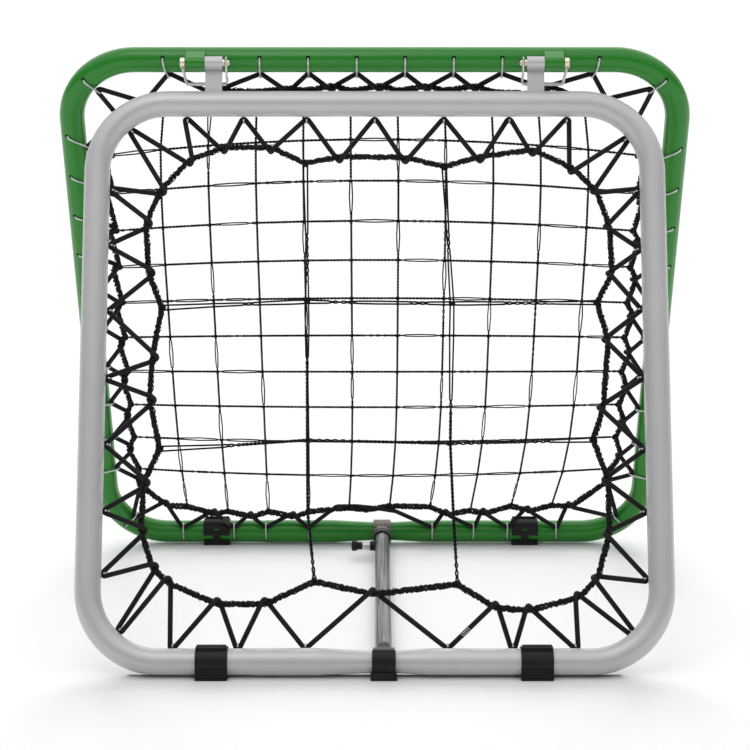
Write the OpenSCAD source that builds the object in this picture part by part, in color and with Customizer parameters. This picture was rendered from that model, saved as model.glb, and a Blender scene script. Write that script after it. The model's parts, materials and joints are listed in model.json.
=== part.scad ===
// Two-sided pitch back rebounder: two laced net hoops hinged together at the top and held apart by
// one telescopic strut. Millimetres, +Z up, +X to the right of the front side, -Y towards its player.
// The origin lies on the floor under the middle of the stance.

/* [Hoops] */
// Outer width of the front hoop
front_w = 668; // [664:1:672]
// Outer height of the front hoop, along its slope
front_h = 670; // [666:1:674]
// Outer width of the rear hoop
rear_w = 750; // [746:1:754]
// Outer height of the rear hoop, along its slope
rear_h = 750; // [746:1:754]
// Outer diameter of the hoops' tube
tube_d = 29.5; // [28:0.5:30]
// Wall of the hoops' tube
tube_wall = 1.5; // [1.2:0.1:2]
// Radius of the corner bends, on the tube's centre line
bend_r = 80; // [76:1:88]

/* [Stance] */
// Lean of the front hoop from upright, in degrees
front_lean = 20.5; // [18:0.5:24]
// Height of both bottom runs' centre lines over the floor
run_height = 16.5; // [16.5:0.5:20]
// Distance of the strut from the middle, to the right
strut_x = 10; // [0:1:20]

/* [Lacing] */
// Diameter of the bungee cord
bungee_d = 6.4; // [5:0.2:7]
// Diameter of the border ropes
rope_d = 6.6; // [5:0.2:8]
// Diameter of the hooks' wire
wire_d = 2.5; // [2:0.1:3]
// Spacing of the rear hooks along each side
rear_pitch = 56; // [55:0.5:57]
// Width of each strand of the front net's doubled lines
front_line_w = 1.9; // [1.5:0.1:2.5]
// Width of the rear net's lines
rear_line_w = 2.6; // [1.8:0.2:3]

/* [Hardware] */
// Diameter of the hinge pins' shank
pin_d = 8; // [6:0.5:9]
// Outer diameter of the strut's chromed tube
strut_d = 19; // [18:0.5:20]
// Outer diameter of the strut's inner tube
inner_d = 15.84; // [15.82:0.01:15.88]
// How far the strut draws out
strut_reach = 120; // [80:10:140]

/* [Hidden] */

$fn = 48;

// Colours of the finishes
silver_paint = [0.72, 0.72, 0.73];
green_paint = [0.16, 0.50, 0.16];
black_plastic = [0.08, 0.08, 0.09];
black_cord = [0.06, 0.06, 0.07];
zinc = [0.80, 0.76, 0.66];
steel = [0.62, 0.62, 0.63];
bare_metal = [0.42, 0.40, 0.38];

tube_r = tube_d / 2;
bungee_r = bungee_d / 2;
rope_r = rope_d / 2;
wire_r = wire_d / 2;
pin_r = pin_d / 2;
running_gap = 0.075;

// ---- Stance: where the hinge line and the two top runs lie, seen from the side ----

// The hinge line, from the front top run: towards the net's inner side, and up along the slope
eye_set = -4.5;
eye_rise = 48;
// The hinge line, from the rear top run: towards the space between the hoops, and up along the slope
barrel_set = 21.5;
barrel_rise = 7;

front_slope = front_h - tube_d;
rear_slope = rear_h - tube_d;
hinge_z = run_height + (front_slope + eye_rise) * cos(front_lean) - eye_set * sin(front_lean);
rear_lean = acos((hinge_z - run_height) / norm([barrel_rise + rear_slope, barrel_set]))
    - atan2(barrel_set, barrel_rise + rear_slope);
front_run_dy = -eye_set * cos(front_lean) - (front_slope + eye_rise) * sin(front_lean);
rear_run_dy = barrel_set * cos(rear_lean) + (barrel_rise + rear_slope) * sin(rear_lean);
hinge_y = -(front_run_dy + rear_run_dy) / 2;
front_run_y = hinge_y + front_run_dy;
rear_run_y = hinge_y + rear_run_dy;
strut_l = rear_run_y - front_run_y;

// Places its children in a hoop's own frame: X across, Z up the slope from the top run's centre line,
// Y towards the space between the two hoops
module on_front() {
    translate([0, front_run_y + front_slope * sin(front_lean), run_height + front_slope * cos(front_lean)])
        rotate([-front_lean, 0, 0]) children();
}
module on_rear() {
    translate([0, rear_run_y - rear_slope * sin(rear_lean), run_height + rear_slope * cos(rear_lean)])
        rotate([rear_lean, 0, 0]) mirror([0, 1, 0]) children();
}

// ---- Hook stations: [x, z, turn, hole angle, seat angle, slant], clockwise from the top left corner ----

// A station's own frame has Z inwards, Y towards the space between the hoops and X back along the tube.
// Both angles are measured in that section from inwards, over the side that faces the other hoop: the
// wire enters the tube at the first, and the cord's seat lies at the second. The slant is how far the
// seat lies ahead of the hole, clockwise.

// A bend's station lies at an angle from the level of the bend's side end
function corner_station(w, h, right, low, at, seat, hole) =
    let (a = w / 2 - tube_r - bend_r, s = right ? 1 : -1, t = low ? -1 : 1)
    let (middle_z = low ? -(h - tube_d - bend_r) : -bend_r)
    [s * (a + bend_r * cos(at)), middle_z + t * bend_r * sin(at), -s * (90 + t * at), hole, seat, 0];

// Hooks of the front hoop: across its top and bottom, and depths below the top run down its sides
front_top = [-217, -152, -79, 0, 80, 156, 222.5];
front_right = [102, 171, 241, 320, 402, 473, 548];
front_bottom = [223, 153.5, 81, -77, -152, -224.5];
front_left = [101, 166, 242.5, 321, 397, 472, 542];

// Hooks of the rear hoop, with the slants that the pull of the cord gives them. The lower half of the
// left side is stretched a little.
rear_top = [for (i = [0:9]) if (i != 1 && i != 8) -247 + i * (rear_pitch + 0.5)];
rear_top_slant = [6, 0, 0, 0, 0, 0, 0, -7];
rear_right = [for (i = [0:9]) 112 + i * rear_pitch];
rear_left = [for (i = [0:9]) 95 + i * rear_pitch + 7 * min(max((i - 4) / 3, 0), 1)];
rear_side_slant = [18, 14, 10, 6, 0, 0, 0, 0, 0, -4];
rear_bottom = [246, 180, 134, 78, -90, -148, -191, -260];

// Seat and hole angles
front_seat = 33;
corner_seat = 48;
side_seat = 28;
top_seat = 1;
side_hole = 104;
top_hole = 116;
bottom_hole = 87;

front_stations = concat(
    [corner_station(front_w, front_h, false, false, 50, corner_seat, side_hole)],
    [for (x = front_top) [x, 0, 180, side_hole, front_seat, 0]],
    [corner_station(front_w, front_h, true, false, 38, corner_seat, side_hole)],
    [for (d = front_right) [front_w / 2 - tube_r, -d, -90, side_hole, front_seat, 0]],
    [corner_station(front_w, front_h, true, true, 45, corner_seat, side_hole)],
    [for (x = front_bottom) [x, -front_slope, 0, side_hole, front_seat, 0]],
    [corner_station(front_w, front_h, false, true, 45, front_seat, side_hole)],
    [for (i = [6:-1:0]) [tube_r - front_w / 2, -front_left[i], 90, side_hole, front_seat, 0]]
);
rear_stations = concat(
    [corner_station(rear_w, rear_h, false, false, 45, side_seat, side_hole)],
    [for (i = [0:7]) [rear_top[i], 0, 180, top_hole, top_seat, rear_top_slant[i]]],
    [corner_station(rear_w, rear_h, true, false, 45, side_seat, side_hole)],
    [for (i = [0:9]) [rear_w / 2 - tube_r, -rear_right[i], -90, side_hole, side_seat, rear_side_slant[i]]],
    [corner_station(rear_w, rear_h, true, true, 45, front_seat, bottom_hole)],
    [for (x = rear_bottom) [x, -rear_slope, 0, bottom_hole, front_seat, 0]],
    [corner_station(rear_w, rear_h, false, true, 45, front_seat, bottom_hole)],
    [for (i = [9:-1:0]) [tube_r - rear_w / 2, -rear_left[i], 90, side_hole, side_seat, -rear_side_slant[i]]]
);

module at_station(st) {
    translate([st[0], 0, st[1]]) rotate([0, st[2], 0]) children();
}

// A point given in a station's frame, in its hoop's frame
function from_station(st, p) = [
    st[0] + p[0] * cos(st[2]) + p[2] * sin(st[2]),
    p[1],
    st[1] - p[0] * sin(st[2]) + p[2] * cos(st[2])
];

// ---- Round cords through a list of points ----

function unit(v) = v / norm(v);

// Directions in and out of each point; a closed cord wraps round, an open one ends straight
function runs(p, closed) = [
    for (i = [0:len(p) - 1]) let (n = len(p))
        let (back = closed ? p[(i + n - 1) % n] : p[max(i - 1, 0)])
        let (ahead = closed ? p[(i + 1) % n] : p[min(i + 1, n - 1)])
        [back == p[i] ? unit(ahead - p[i]) : unit(p[i] - back),
         ahead == p[i] ? unit(p[i] - back) : unit(ahead - p[i])]
];

// A side direction at each point, carried along the cord with the least twist
function carried(t, start) = [
    for (i = 0, u = unit(start - (start * t[0]) * t[0]); i < len(t);
         i = i + 1, u = i < len(t) ? unit(u - (u * t[i]) * t[i]) : u) u
];

// One ring of the cord: its sides lie on the mitre plane of the bend
function ring(p, run, u, turn, r, sides) =
    let (t = unit(run[0] + run[1]), v = cross(t, u), bend = run[1] - run[0], tight = norm(bend) > 0.01)
    [for (k = [0:sides - 1]) let (a = turn + 360 * k / sides, w = r * (cos(a) * u + sin(a) * v))
        tight ? p + w + unit(bend) * (w * unit(bend)) * (1 / (run[0] * t) - 1) : p + w];

module cord(points, r, sides, closed = false) {
    n = len(points);
    run = runs(points, closed);
    t = [for (d = run) unit(d[0] + d[1])];
    u = carried(t, [0.31, 0.8, 0.52]);
    last = unit(u[n - 1] - (u[n - 1] * t[0]) * t[0]);
    twist = closed ? atan2(cross(u[0], last) * t[0], u[0] * last) : 0;
    rings = [for (i = [0:n - 1]) ring(points[i], run[i], u[i], -twist * i / n, r, sides)];
    skin = [
        for (i = [0:n - (closed ? 1 : 2)], k = [0:sides - 1])
            let (a = i * sides, b = ((i + 1) % n) * sides, m = (k + 1) % sides)
            each [[a + k, b + k, a + m], [a + m, b + k, b + m]]
    ];
    ends = closed ? [] : [[for (k = [0:sides - 1]) k], [for (k = [sides - 1:-1:0]) (n - 1) * sides + k]];
    polyhedron([for (q = rings) each q], concat(skin, ends), convexity = 10);
}

// ---- Hoops ----

module tube_section() {
    difference() {
        circle(tube_r);
        circle(tube_r - tube_wall);
    }
}

neck_r = 12.5;
neck_half = 16;
swage_step = 0.4;

// Bottom run: the left end is pushed into the swaged right one at the seam, and the neck for the
// strut's strap lies between two tapers
module bottom_run(a, seam_x, taper_left, taper_right) {
    neck_left = strut_x - neck_half;
    neck_right = strut_x + neck_half;
    outer = [
        [tube_r, -a], [tube_r, seam_x], [tube_r + swage_step, seam_x],
        [tube_r + swage_step, neck_left - taper_left], [neck_r, neck_left],
        [neck_r, neck_right], [tube_r, neck_right + taper_right], [tube_r, a]
    ];
    inner = [
        [tube_r, a], [tube_r, neck_right + taper_right], [neck_r, neck_right],
        [neck_r, neck_left], [tube_r, neck_left - taper_left], [tube_r, -a]
    ];
    rotate([0, 90, 0]) rotate_extrude()
        polygon(concat(outer, [for (p = inner) p - [tube_wall, 0]]));
}

hook_hole_d = 5;

module hoop(w, h, seam_x, taper_left, taper_right, stations) {
    a = w / 2 - tube_r - bend_r;
    side_l = h - tube_d - 2 * bend_r;
    low = -(h - tube_d);
    difference() {
        union() {
            translate([-a, 0, 0]) rotate([0, 90, 0]) linear_extrude(2 * a) tube_section();
            for (x = [-a - bend_r, a + bend_r])
                translate([x, 0, -bend_r - side_l]) linear_extrude(side_l) tube_section();
            for (k = [0:3])
                translate([k == 0 || k == 3 ? a : -a, 0, k < 2 ? -bend_r : low + bend_r])
                    rotate([90, 0, 0]) rotate([0, 0, 90 * k])
                        rotate_extrude(angle = 90) translate([bend_r, 0]) tube_section();
            translate([0, 0, low]) bottom_run(a, seam_x, taper_left, taper_right);
        }
        for (st = stations) at_station(st) in_section() hook_hole(st[3]);
    }
}

module front_hoop() {
    color(silver_paint) on_front() hoop(front_w, front_h, -134, 58, 34, front_stations);
}

module rear_hoop() {
    color(green_paint) on_rear() hoop(rear_w, rear_h, -148, 50, 40, rear_stations);
}

// ---- Wire hooks ----

// Radius of the wire's centre line round the tube, of its bend into the hole and of its end round
// the cord, and how far the cord's seat lies from the tube's centre: it rests against the tube
hook_r = tube_r + swage_step + wire_r + 0.1;
hook_bend_r = 2.5;
hook_end_r = bungee_r + wire_r + 0.15;
seat_r = tube_r + swage_step + bungee_r + 0.1;
hook_end_angle = -75;
hook_stub_l = 3;

// Turns a drawing in XY into a station's section: X becomes inwards, Y towards the other hoop
module in_section() {
    rotate([0, -90, 0]) children();
}

// At each joint the wire's next piece is a hair thinner and starts inside the last one
joint_step = 0.03;
joint_lap = 0.15;

module wire_arc(r, from, to, thinner = 0) {
    rotate([0, 0, from]) rotate_extrude(angle = to - from) translate([r, 0]) circle(wire_r - thinner);
}

module wire_length(l, thinner) {
    translate([0, 0, -joint_lap]) cylinder(r = wire_r - thinner, h = l);
}

// Centre of the wire's bend into the hole
function hook_bend(angle) = (hook_r - hook_bend_r) * [cos(angle), sin(angle)];

module hook_hole(angle) {
    translate(concat(hook_bend(angle) + hook_bend_r * [-sin(angle), cos(angle)], 0))
        rotate([0, 0, angle]) rotate([0, 90, 0]) cylinder(d = hook_hole_d, h = 10, center = true);
}

module hook(angle, seat_angle, slant) {
    // The straight part is the common tangent of the wire's two arcs, and leans along the tube with
    // the slant, between two small rounds
    leave = acos((hook_r - hook_end_r) / seat_r) + seat_angle;
    straight_l = sqrt(seat_r * seat_r - pow(hook_r - hook_end_r, 2));
    seat = seat_r * [cos(seat_angle), sin(seat_angle)];
    bend_lap = joint_lap / hook_bend_r * 180 / PI;
    wire_arc(hook_r, leave, angle);
    rotate([0, 0, leave]) translate([hook_r, 0, 0]) rotate([90 - atan2(slant, straight_l), 0, 0])
        wire_length(norm([straight_l, slant]) + 2 * joint_lap, joint_step);
    translate([seat[0], seat[1], slant]) wire_arc(hook_end_r, hook_end_angle, leave);
    if (slant != 0) {
        rotate([0, 0, leave]) translate([hook_r, 0, 0]) sphere(r = wire_r + joint_step);
        translate([seat[0], seat[1], slant]) rotate([0, 0, leave]) translate([hook_end_r, 0, 0])
            sphere(r = wire_r + joint_step);
    }
    translate(concat(hook_bend(angle), 0)) {
        wire_arc(hook_bend_r, angle - bend_lap, angle + 90, joint_step);
        rotate([0, 0, angle]) translate([0, hook_bend_r, 0]) rotate([0, -90, 0])
            wire_length(hook_stub_l + joint_lap, 2 * joint_step);
    }
}

module hooks(stations) {
    for (st = stations) at_station(st) in_section() hook(st[3], st[4], st[5]);
}

module front_hooks() {
    color(steel) on_front() hooks(front_stations);
}

module rear_hooks() {
    color(steel) on_rear() hooks(rear_stations);
}

// ---- Border ropes ----

// The front rope, clockwise from the top left corner: [x, depth below the top run, is a net line tied here]
front_rope_knots = [
    [-213, 67, 0], [-173, 52, 0], [-119, 52, 0], [-80, 71, 1], [-40, 63, 0], [36, 64, 0], [80, 75, 1],
    [122, 63, 0], [183, 55, 0], [228, 77, 0], [255, 104, 0], [269, 146, 0], [271, 201, 0], [253, 235, 1],
    [265, 278, 0], [258, 356, 0], [246, 393, 1], [262, 438, 0], [262, 499, 0], [248, 549, 0],
    [226, 570, 0], [171, 584, 0], [134, 581, 0], [92, 555, 1], [-2, 566, 0], [-67, 552, 1],
    [-122, 577, 0], [-175, 577, 0], [-231, 553, 0], [-248, 536, 0], [-261, 495, 0], [-259, 441, 0],
    [-242, 403, 1], [-254, 347, 0], [-252, 298, 0], [-242, 241, 1], [-258, 200, 0], [-262, 142, 0],
    [-246, 103, 0]
];
front_wraps = [for (k = front_rope_knots) if (k[2] == 0) [k[0], -k[1]]];

// The rear rope hangs inside the hooks' seats by this much, along the top and the sides
rear_lace = [16, 16.5];
// Where the bungee crosses it from the bottom right bend to the bottom left one: [x, depth]
rear_low_wraps = [
    [265, 677], [209, 685], [149, 689], [98, 691], [-12, 683], [-109, 695], [-167, 695], [-216, 690],
    [-282, 675]
];
// The first of these, and the one that passes over the strut
low_wrap = 20;
strut_wrap = 24;

// Elsewhere it crosses halfway between two hooks, drawn inwards. Next to the lower bends it stands out.
function lace_depth(turn) = abs(turn) > 120 ? rear_lace[0] : rear_lace[1];
function inward(turn) = [sin(turn), cos(turn)];
function seat_below(st) = [st[0], st[1]] + seat_r * cos(st[4]) * inward(st[2]);
function crossing_between(a, b) =
    let (pull = unit(inward(a[2]) + inward(b[2])))
    (seat_below(a) + seat_below(b)) / 2 + pull * (lace_depth(a[2]) + lace_depth(b[2])) / 2;
rear_wraps = [
    for (i = [0:len(rear_stations) - 1])
        let (a = rear_stations[i], b = rear_stations[(i + 1) % len(rear_stations)])
        let (low = i - low_wrap, out = low == -1 ? [-5, 14] : low == 9 ? [1.5, 3] : [0, 0])
        low >= 0 && low < 9 ? [rear_low_wraps[low][0], -rear_low_wraps[low][1]] : crossing_between(a, b) + out
];

// ---- Rear net: curves through the crossings of 10 upright and 10 level lines ----

rear_lines = 10;
// Half-height and middle of the net, below the top run
net_half = 315;
net_middle = -357;
// Half-width of the net between the border rope's sides
net_side = 319;

// How far along the slope from the net's middle, and across it, each from -1 to 1
function upright_x(k, z) =
    let (middle_x = -261.5 + 58.1 * k, end_x = z > net_middle ? -249 + 55.1 * k : -254 + 54.8 * k)
    end_x + (middle_x - end_x) * (1 - pow((z - net_middle) / net_half, 4));
function level_z(k, x) =
    let (end_z = -(129 + 53.6 * k), middle_z = -(107 + 57.4 * k))
    end_z + (middle_z - end_z) * (1 - pow(x / net_side, 2));

// The lines' ends, where they are tied to the border rope
bottom_tie_depths = [677, 685.5, 685.5, 686, 679, 676, 677.5, 684, 676, 675];
function top_tie(k) = let (x = upright_x(k, -45)) [x, -41 - 14 * pow(x / 250, 4)];
function bottom_tie(k) = [upright_x(k, -672), -bottom_tie_depths[k]];
function side_tie(k, s) =
    let (z = level_z(k, net_side), bow = pow((z - net_middle) / net_half, 6)) [s * (net_side - 14 * bow), z];

rear_uprights = [
    for (k = [0:rear_lines - 1]) concat(
        [top_tie(k)],
        [for (j = [0:rear_lines - 1]) let (z = level_z(j, upright_x(k, level_z(j, 0)))) [upright_x(k, z), z]],
        [bottom_tie(k)])
];
rear_levels = [
    for (k = [0:rear_lines - 1]) concat(
        [side_tie(k, -1)],
        [for (j = [0:rear_lines - 1]) let (z = level_z(k, upright_x(j, level_z(k, 0)))) [upright_x(j, z), z]],
        [side_tie(k, 1)])
];
rear_ties = concat(
    [for (l = rear_uprights) each [l[0], l[len(l) - 1]]],
    [for (l = rear_levels) each [l[0], l[len(l) - 1]]]
);

// Clockwise order round the net's middle, starting at the left side
function around(p) = atan2(p[0], p[1] - net_middle);
function by_angle(list) = len(list) < 2 ? list :
    let (pivot = around(list[0]))
    concat(
        by_angle([for (p = list) if (around(p) < pivot) p]),
        [for (p = list) if (around(p) == pivot) p],
        by_angle([for (p = list) if (around(p) > pivot) p]));
rear_rope_path = by_angle(concat(rear_wraps, rear_ties));

module border_rope(path) {
    cord([for (p = path) [p[0], 0, p[1]]], rope_r, 8, closed = true);
}

module front_border_rope() {
    color(black_cord) on_front() border_rope([for (k = front_rope_knots) [k[0], -k[1]]]);
}

module rear_border_rope() {
    color(black_cord) on_rear() border_rope(rear_rope_path);
}

// ---- Nets ----

// The front net's four doubled lines: [x, depth below the top run, is a knot] along each
front_lines = [
    [[-80, 71, 1], [-77, 189, 0], [-77, 234, 1], [-76, 393, 1], [-75, 475, 0], [-67, 552, 1]],
    [[80, 75, 1], [83, 141, 0], [88, 236, 1], [85, 397, 1], [88, 478, 0], [92, 555, 1]],
    [[-242, 241, 1], [-182, 238, 0], [-77, 234, 1], [88, 236, 1], [253, 235, 1]],
    [[-242, 403, 1], [-173, 400, 0], [-76, 393, 1], [85, 397, 1], [171, 395, 0], [246, 393, 1]]
];

// How far a doubled line's strands lie from its middle, at its knots and between them, how far from
// a knot they have parted, and the radius of the knots that join them
knot_half = 1.15;
open_half = 2.1;
parting = 14;
knot_r = 2.8;
front_net_knots = concat(
    [for (l = [0, 1], p = front_lines[l]) if (p[2] == 1) [p[0], -p[1]]],
    [for (l = [2, 3], p = front_lines[l]) if (abs(p[0]) > 200) [p[0], -p[1]]]);

// A doubled line with a point on both sides of each knot: [x, z, how far its strands lie off]
function parted(line) = [
    for (i = [0:len(line) - 1])
        let (p = line[i], q = line[max(i - 1, 0)], n = line[min(i + 1, len(line) - 1)])
        each concat(
            p[2] == 1 && i > 0 ? [parted_point(p, q)] : [],
            [[p[0], -p[1], p[2] == 1 ? knot_half : open_half]],
            p[2] == 1 && i < len(line) - 1 ? [parted_point(p, n)] : [])
];
function parted_point(p, q) =
    let (way = parting * unit([q[0] - p[0], p[1] - q[1]])) [p[0] + way[0], way[1] - p[1], open_half];

// A flat line of even width through points, drawn to one side of them by their third value
module stroke(points, width, away = 0) {
    n = len(points);
    side = [
        for (i = [0:n - 1])
            let (d = points[min(i + 1, n - 1)] - points[max(i - 1, 0)])
            unit([-d[1], d[0]])
    ];
    function edge(i, reach) =
        [points[i][0], points[i][1]] + side[i] * (reach + (away == 0 ? 0 : away * points[i][2]));
    polygon(concat(
        [for (i = [0:n - 1]) edge(i, -width / 2)],
        [for (i = [n - 1:-1:0]) edge(i, width / 2)]));
}

module flat_net(thick) {
    rotate([90, 0, 0]) linear_extrude(thick, center = true) children();
}

module front_net() {
    color(black_cord) on_front() flat_net(2.6) {
        for (line = front_lines, s = [-1, 1]) stroke(parted(line), front_line_w, s);
        for (p = front_net_knots) translate(p) circle(knot_r);
    }
}

module rear_net() {
    color(black_cord) on_rear() flat_net(2)
        for (line = concat(rear_uprights, rear_levels)) stroke(line, rear_line_w);
}

// ---- Bungees ----

// Over each hook the cord bends round the wire, and over the rope it comes from the next hoop's side
// of the net, round the rope's inner edge, to the outer side. The bends touch what they go round.
// Over the strut it lies along the rope for a while.
lace_spread = 3;
strut_spread = 40;
wrap_r = rope_r + bungee_r + 0.1;

// Where a cord that leaves over the hook's wire towards a point bends, to that side of the wire
function hook_bend_point(st, toward, side) =
    let (rel = toward - [st[0], st[1]], seat = seat_r * [cos(st[4]), sin(st[4])])
    let (x = rel[0] * cos(st[2]) - rel[1] * sin(st[2]) + st[5], z = rel[0] * sin(st[2]) + rel[1] * cos(st[2]))
    let (turn = atan2(z - seat[0], side * x))
    from_station(st, [side * hook_end_r * tan(turn / 2) - st[5], seat[1], seat[0]]);

// Four bends touch the rope's round from one side to the other
function rope_pass(before, after, wrap, spread) =
    let (along = unit(after - before))
    [for (a = [-67.5, -22.5, 22.5, 67.5])
        let (r = wrap_r / cos(22.5), q = wrap + along * spread * a / 67.5)
        let (p = q + [along[1], -along[0]] * r * cos(a)) [p[0], -r * sin(a), p[1]]];

function flat(v) = [v[0], v[2]];

function bungee_path(stations, wraps, long_wrap = -1) = [
    for (i = [0:len(stations) - 1])
        let (n = len(stations), st = stations[i], last = wraps[(i + n - 1) % n], wrap = wraps[i])
        let (next = stations[(i + 1) % n])
        let (in = hook_bend_point(st, last, 1), out = hook_bend_point(st, wrap, -1))
        let (ahead = hook_bend_point(next, wrap, 1))
        let (spread = i == long_wrap ? strut_spread : lace_spread)
        each concat([in, out], rope_pass(flat(out), flat(ahead), wrap, spread))
];

front_bungee_path = bungee_path(front_stations, front_wraps);
rear_bungee_path = bungee_path(rear_stations, rear_wraps, strut_wrap);

module front_bungee() {
    color(black_cord) on_front() cord(front_bungee_path, bungee_r, 7, closed = true);
}

module rear_bungee() {
    color(black_cord) on_rear() cord(rear_bungee_path, bungee_r, 7, closed = true);
}

// Crimp ferrule round the two ends of a bungee, a given way along the stretch between two points
module crimp(a, b, part) {
    d = unit(b - a);
    crimp_l = 13;
    translate(a + (b - a) * part) rotate([0, acos(d[2]), atan2(d[1], d[0])])
        difference() {
            cylinder(r = bungee_r + 1, h = crimp_l, center = true);
            cylinder(r = bungee_r + 0.05, h = crimp_l + 1, center = true);
        }
}

// Numbers of the stretches that carry the crimps, counted in hooks from the top left corner
front_crimp_wrap = 18;
rear_crimp_wrap = 27;

module front_bungee_crimp() {
    i = front_crimp_wrap * 6;
    color(steel) on_front() crimp(front_bungee_path[i + 5], front_bungee_path[i + 6], 0.62);
}

module rear_bungee_crimp() {
    i = rear_crimp_wrap * 6;
    color(steel) on_rear() crimp(rear_bungee_path[i + 1], rear_bungee_path[i + 2], 0.5);
}

// ---- Hinges ----

// Along X from the middle: inner end of the front eye, the line between eye and barrel, outer end
// of the barrel, and the outer face of the pin's head
eye_in = 176.5;
hinge_split = 197;
split_gap = 0.4;
barrel_out = 219.2;
head_in = 219.6;
head_out = 225.8;
tip_in = 167.6;
eye_r = 7.5;
strap_t = 3;

module at_side(side) {
    mirror([side < 0 ? 1 : 0, 0, 0]) children();
}

module along_x(from, to) {
    translate([from, 0, 0]) rotate([0, 90, 0]) linear_extrude(to - from) children();
}

// Strap welded on the front top run, rolled forwards over the pin
module hinge_strap() {
    difference() {
        translate([0, eye_set, eye_rise]) {
            along_x(eye_in, hinge_split - split_gap) circle(eye_r);
            translate([eye_in + 0.5, eye_r - strap_t, -eye_rise])
                cube([hinge_split - split_gap - eye_in - 0.5, strap_t, eye_rise]);
        }
        translate([0, eye_set, eye_rise]) along_x(eye_in - 1, hinge_split + 1) circle(pin_r + running_gap);
        along_x(eye_in - 1, hinge_split + 1) circle(tube_r);
    }
}

module front_hinge_strap_left() {
    color(silver_paint) on_front() at_side(-1) hinge_strap();
}

module front_hinge_strap_right() {
    color(silver_paint) on_front() at_side(1) hinge_strap();
}

// Barrel and the saddle plate that carries it, welded over the rear top run
saddle_t = 2.8;

module hinge_barrel() {
    difference() {
        union() {
            translate([0, barrel_set, barrel_rise]) along_x(hinge_split, barrel_out) circle(eye_r);
            translate([hinge_split, 4, barrel_rise + eye_r - saddle_t])
                cube([barrel_out - hinge_split, barrel_set - 4, saddle_t]);
        }
        translate([0, barrel_set, barrel_rise])
            along_x(hinge_split - 1, barrel_out + 1) circle(pin_r + running_gap);
        along_x(hinge_split - 1, barrel_out + 1) circle(tube_r);
    }
}

module rear_hinge_barrel_left() {
    color(green_paint) on_rear() at_side(-1) hinge_barrel();
}

module rear_hinge_barrel_right() {
    color(green_paint) on_rear() at_side(1) hinge_barrel();
}

module on_hinge() {
    translate([0, hinge_y, hinge_z]) children();
}

head_r = 6.1;
groove_x = 172.2;

// Head, shank, groove for the bail and rounded tip, turned in one piece. Two holes in the head hold
// the bail's ends.
module hinge_pin() {
    difference() {
        rotate([0, 90, 0]) rotate_extrude() polygon([
            [0, tip_in], [2.2, tip_in + 0.5], [3.4, tip_in + 2], [3.4, tip_in + 3.2], [2.9, groove_x - 1.2],
            [2.9, groove_x + 1.2], [pin_r, groove_x + 2], [pin_r, head_in], [head_r - 0.6, head_in],
            [head_r, head_in + 0.6], [head_r, head_out - 0.8], [head_r - 0.8, head_out], [0, head_out]
        ]);
        rotate([bail_lean, 0, 0]) for (s = [-1, 1])
            translate([head_mid, s * bail_end_y, bail_end_z - 10]) cylinder(r = bail_r + 0.05, h = 10);
    }
}

module hinge_pin_left() {
    color(zinc) on_hinge() at_side(-1) hinge_pin();
}

module hinge_pin_right() {
    color(zinc) on_hinge() at_side(1) hinge_pin();
}

// The bail turns with its pin and leans back on the strap: a long wire loop from the head's two
// holes, down, across behind the strap and up, closed over the tip's groove
bail_r = 1.1;
bail_end_y = 3.6;
bail_end_z = -2.2;
bail_lean = 10.5;
bail_drop = 25;
bail_half = 4.2;
bail_over = 6.2;
head_mid = (head_in + head_out) / 2;

// Rounded corner from p to q about the corner c, in a few points
function eased(p, c, q, steps) = [
    for (i = [0:steps]) let (s = i / steps) (1 - s) * (1 - s) * p + 2 * s * (1 - s) * c + s * s * q
];

bail_leg = concat(
    [[head_mid, -bail_end_y, bail_end_z], [head_mid, -bail_end_y, -7]],
    eased([head_mid - 1, -bail_end_y, -11], [head_mid - 4, -bail_half, -bail_drop],
          [head_mid - 12, -bail_half, -bail_drop], 4),
    eased([groove_x + 7, -bail_half, -bail_drop], [groove_x - 1.5, -bail_half, -bail_drop],
          [groove_x - 1, -bail_half, -bail_drop + 8], 4),
    [[groove_x, -bail_half, 0]],
    eased([groove_x, -bail_half, 3], [groove_x, -bail_half, bail_over], [groove_x, 0, bail_over], 3)
);

module bail() {
    back = [for (i = [len(bail_leg) - 2:-1:0]) [bail_leg[i][0], -bail_leg[i][1], bail_leg[i][2]]];
    rotate([bail_lean, 0, 0]) cord(concat(bail_leg, back), bail_r, 6);
}

module pin_bail_left() {
    color(steel) on_hinge() at_side(-1) bail();
}

module pin_bail_right() {
    color(steel) on_hinge() at_side(1) bail();
}

// ---- Feet ----

foot_w = 35.6;
foot_wall = 2.6;
foot_sole = 7;
foot_clip_r = tube_r + foot_wall;
front_foot_x = [-180, 179];
rear_foot_x = [-215.2, 204.2];

// Clip-on foot in the section of a bottom run, with its outer side towards -Y and the floor below
module foot_section() {
    rib_pitch = 3.4;
    difference() {
        intersection() {
            union() {
                circle(foot_clip_r);
                translate([-foot_clip_r, -run_height]) square([foot_clip_r + 13, run_height - 4]);
                for (k = [0:3])
                    translate([-foot_clip_r - 0.9, -run_height + 1.2 + rib_pitch * k]) square([3, 1.9]);
            }
            translate([-30, -run_height]) square([60, 60]);
        }
        circle(tube_r);
    }
}

// Raised lip over the outer side
module foot_lip() {
    rotate(105) translate([foot_clip_r - 1, -3.5]) square([3.9, 7]);
}

lip_w = foot_w - 3;
web_w = 9.6;
window_w = 8.6;
window_h = 3.3;
// Lower edge of the full-width head on the side that faces the other hoop
head_z = 14.7;

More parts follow.
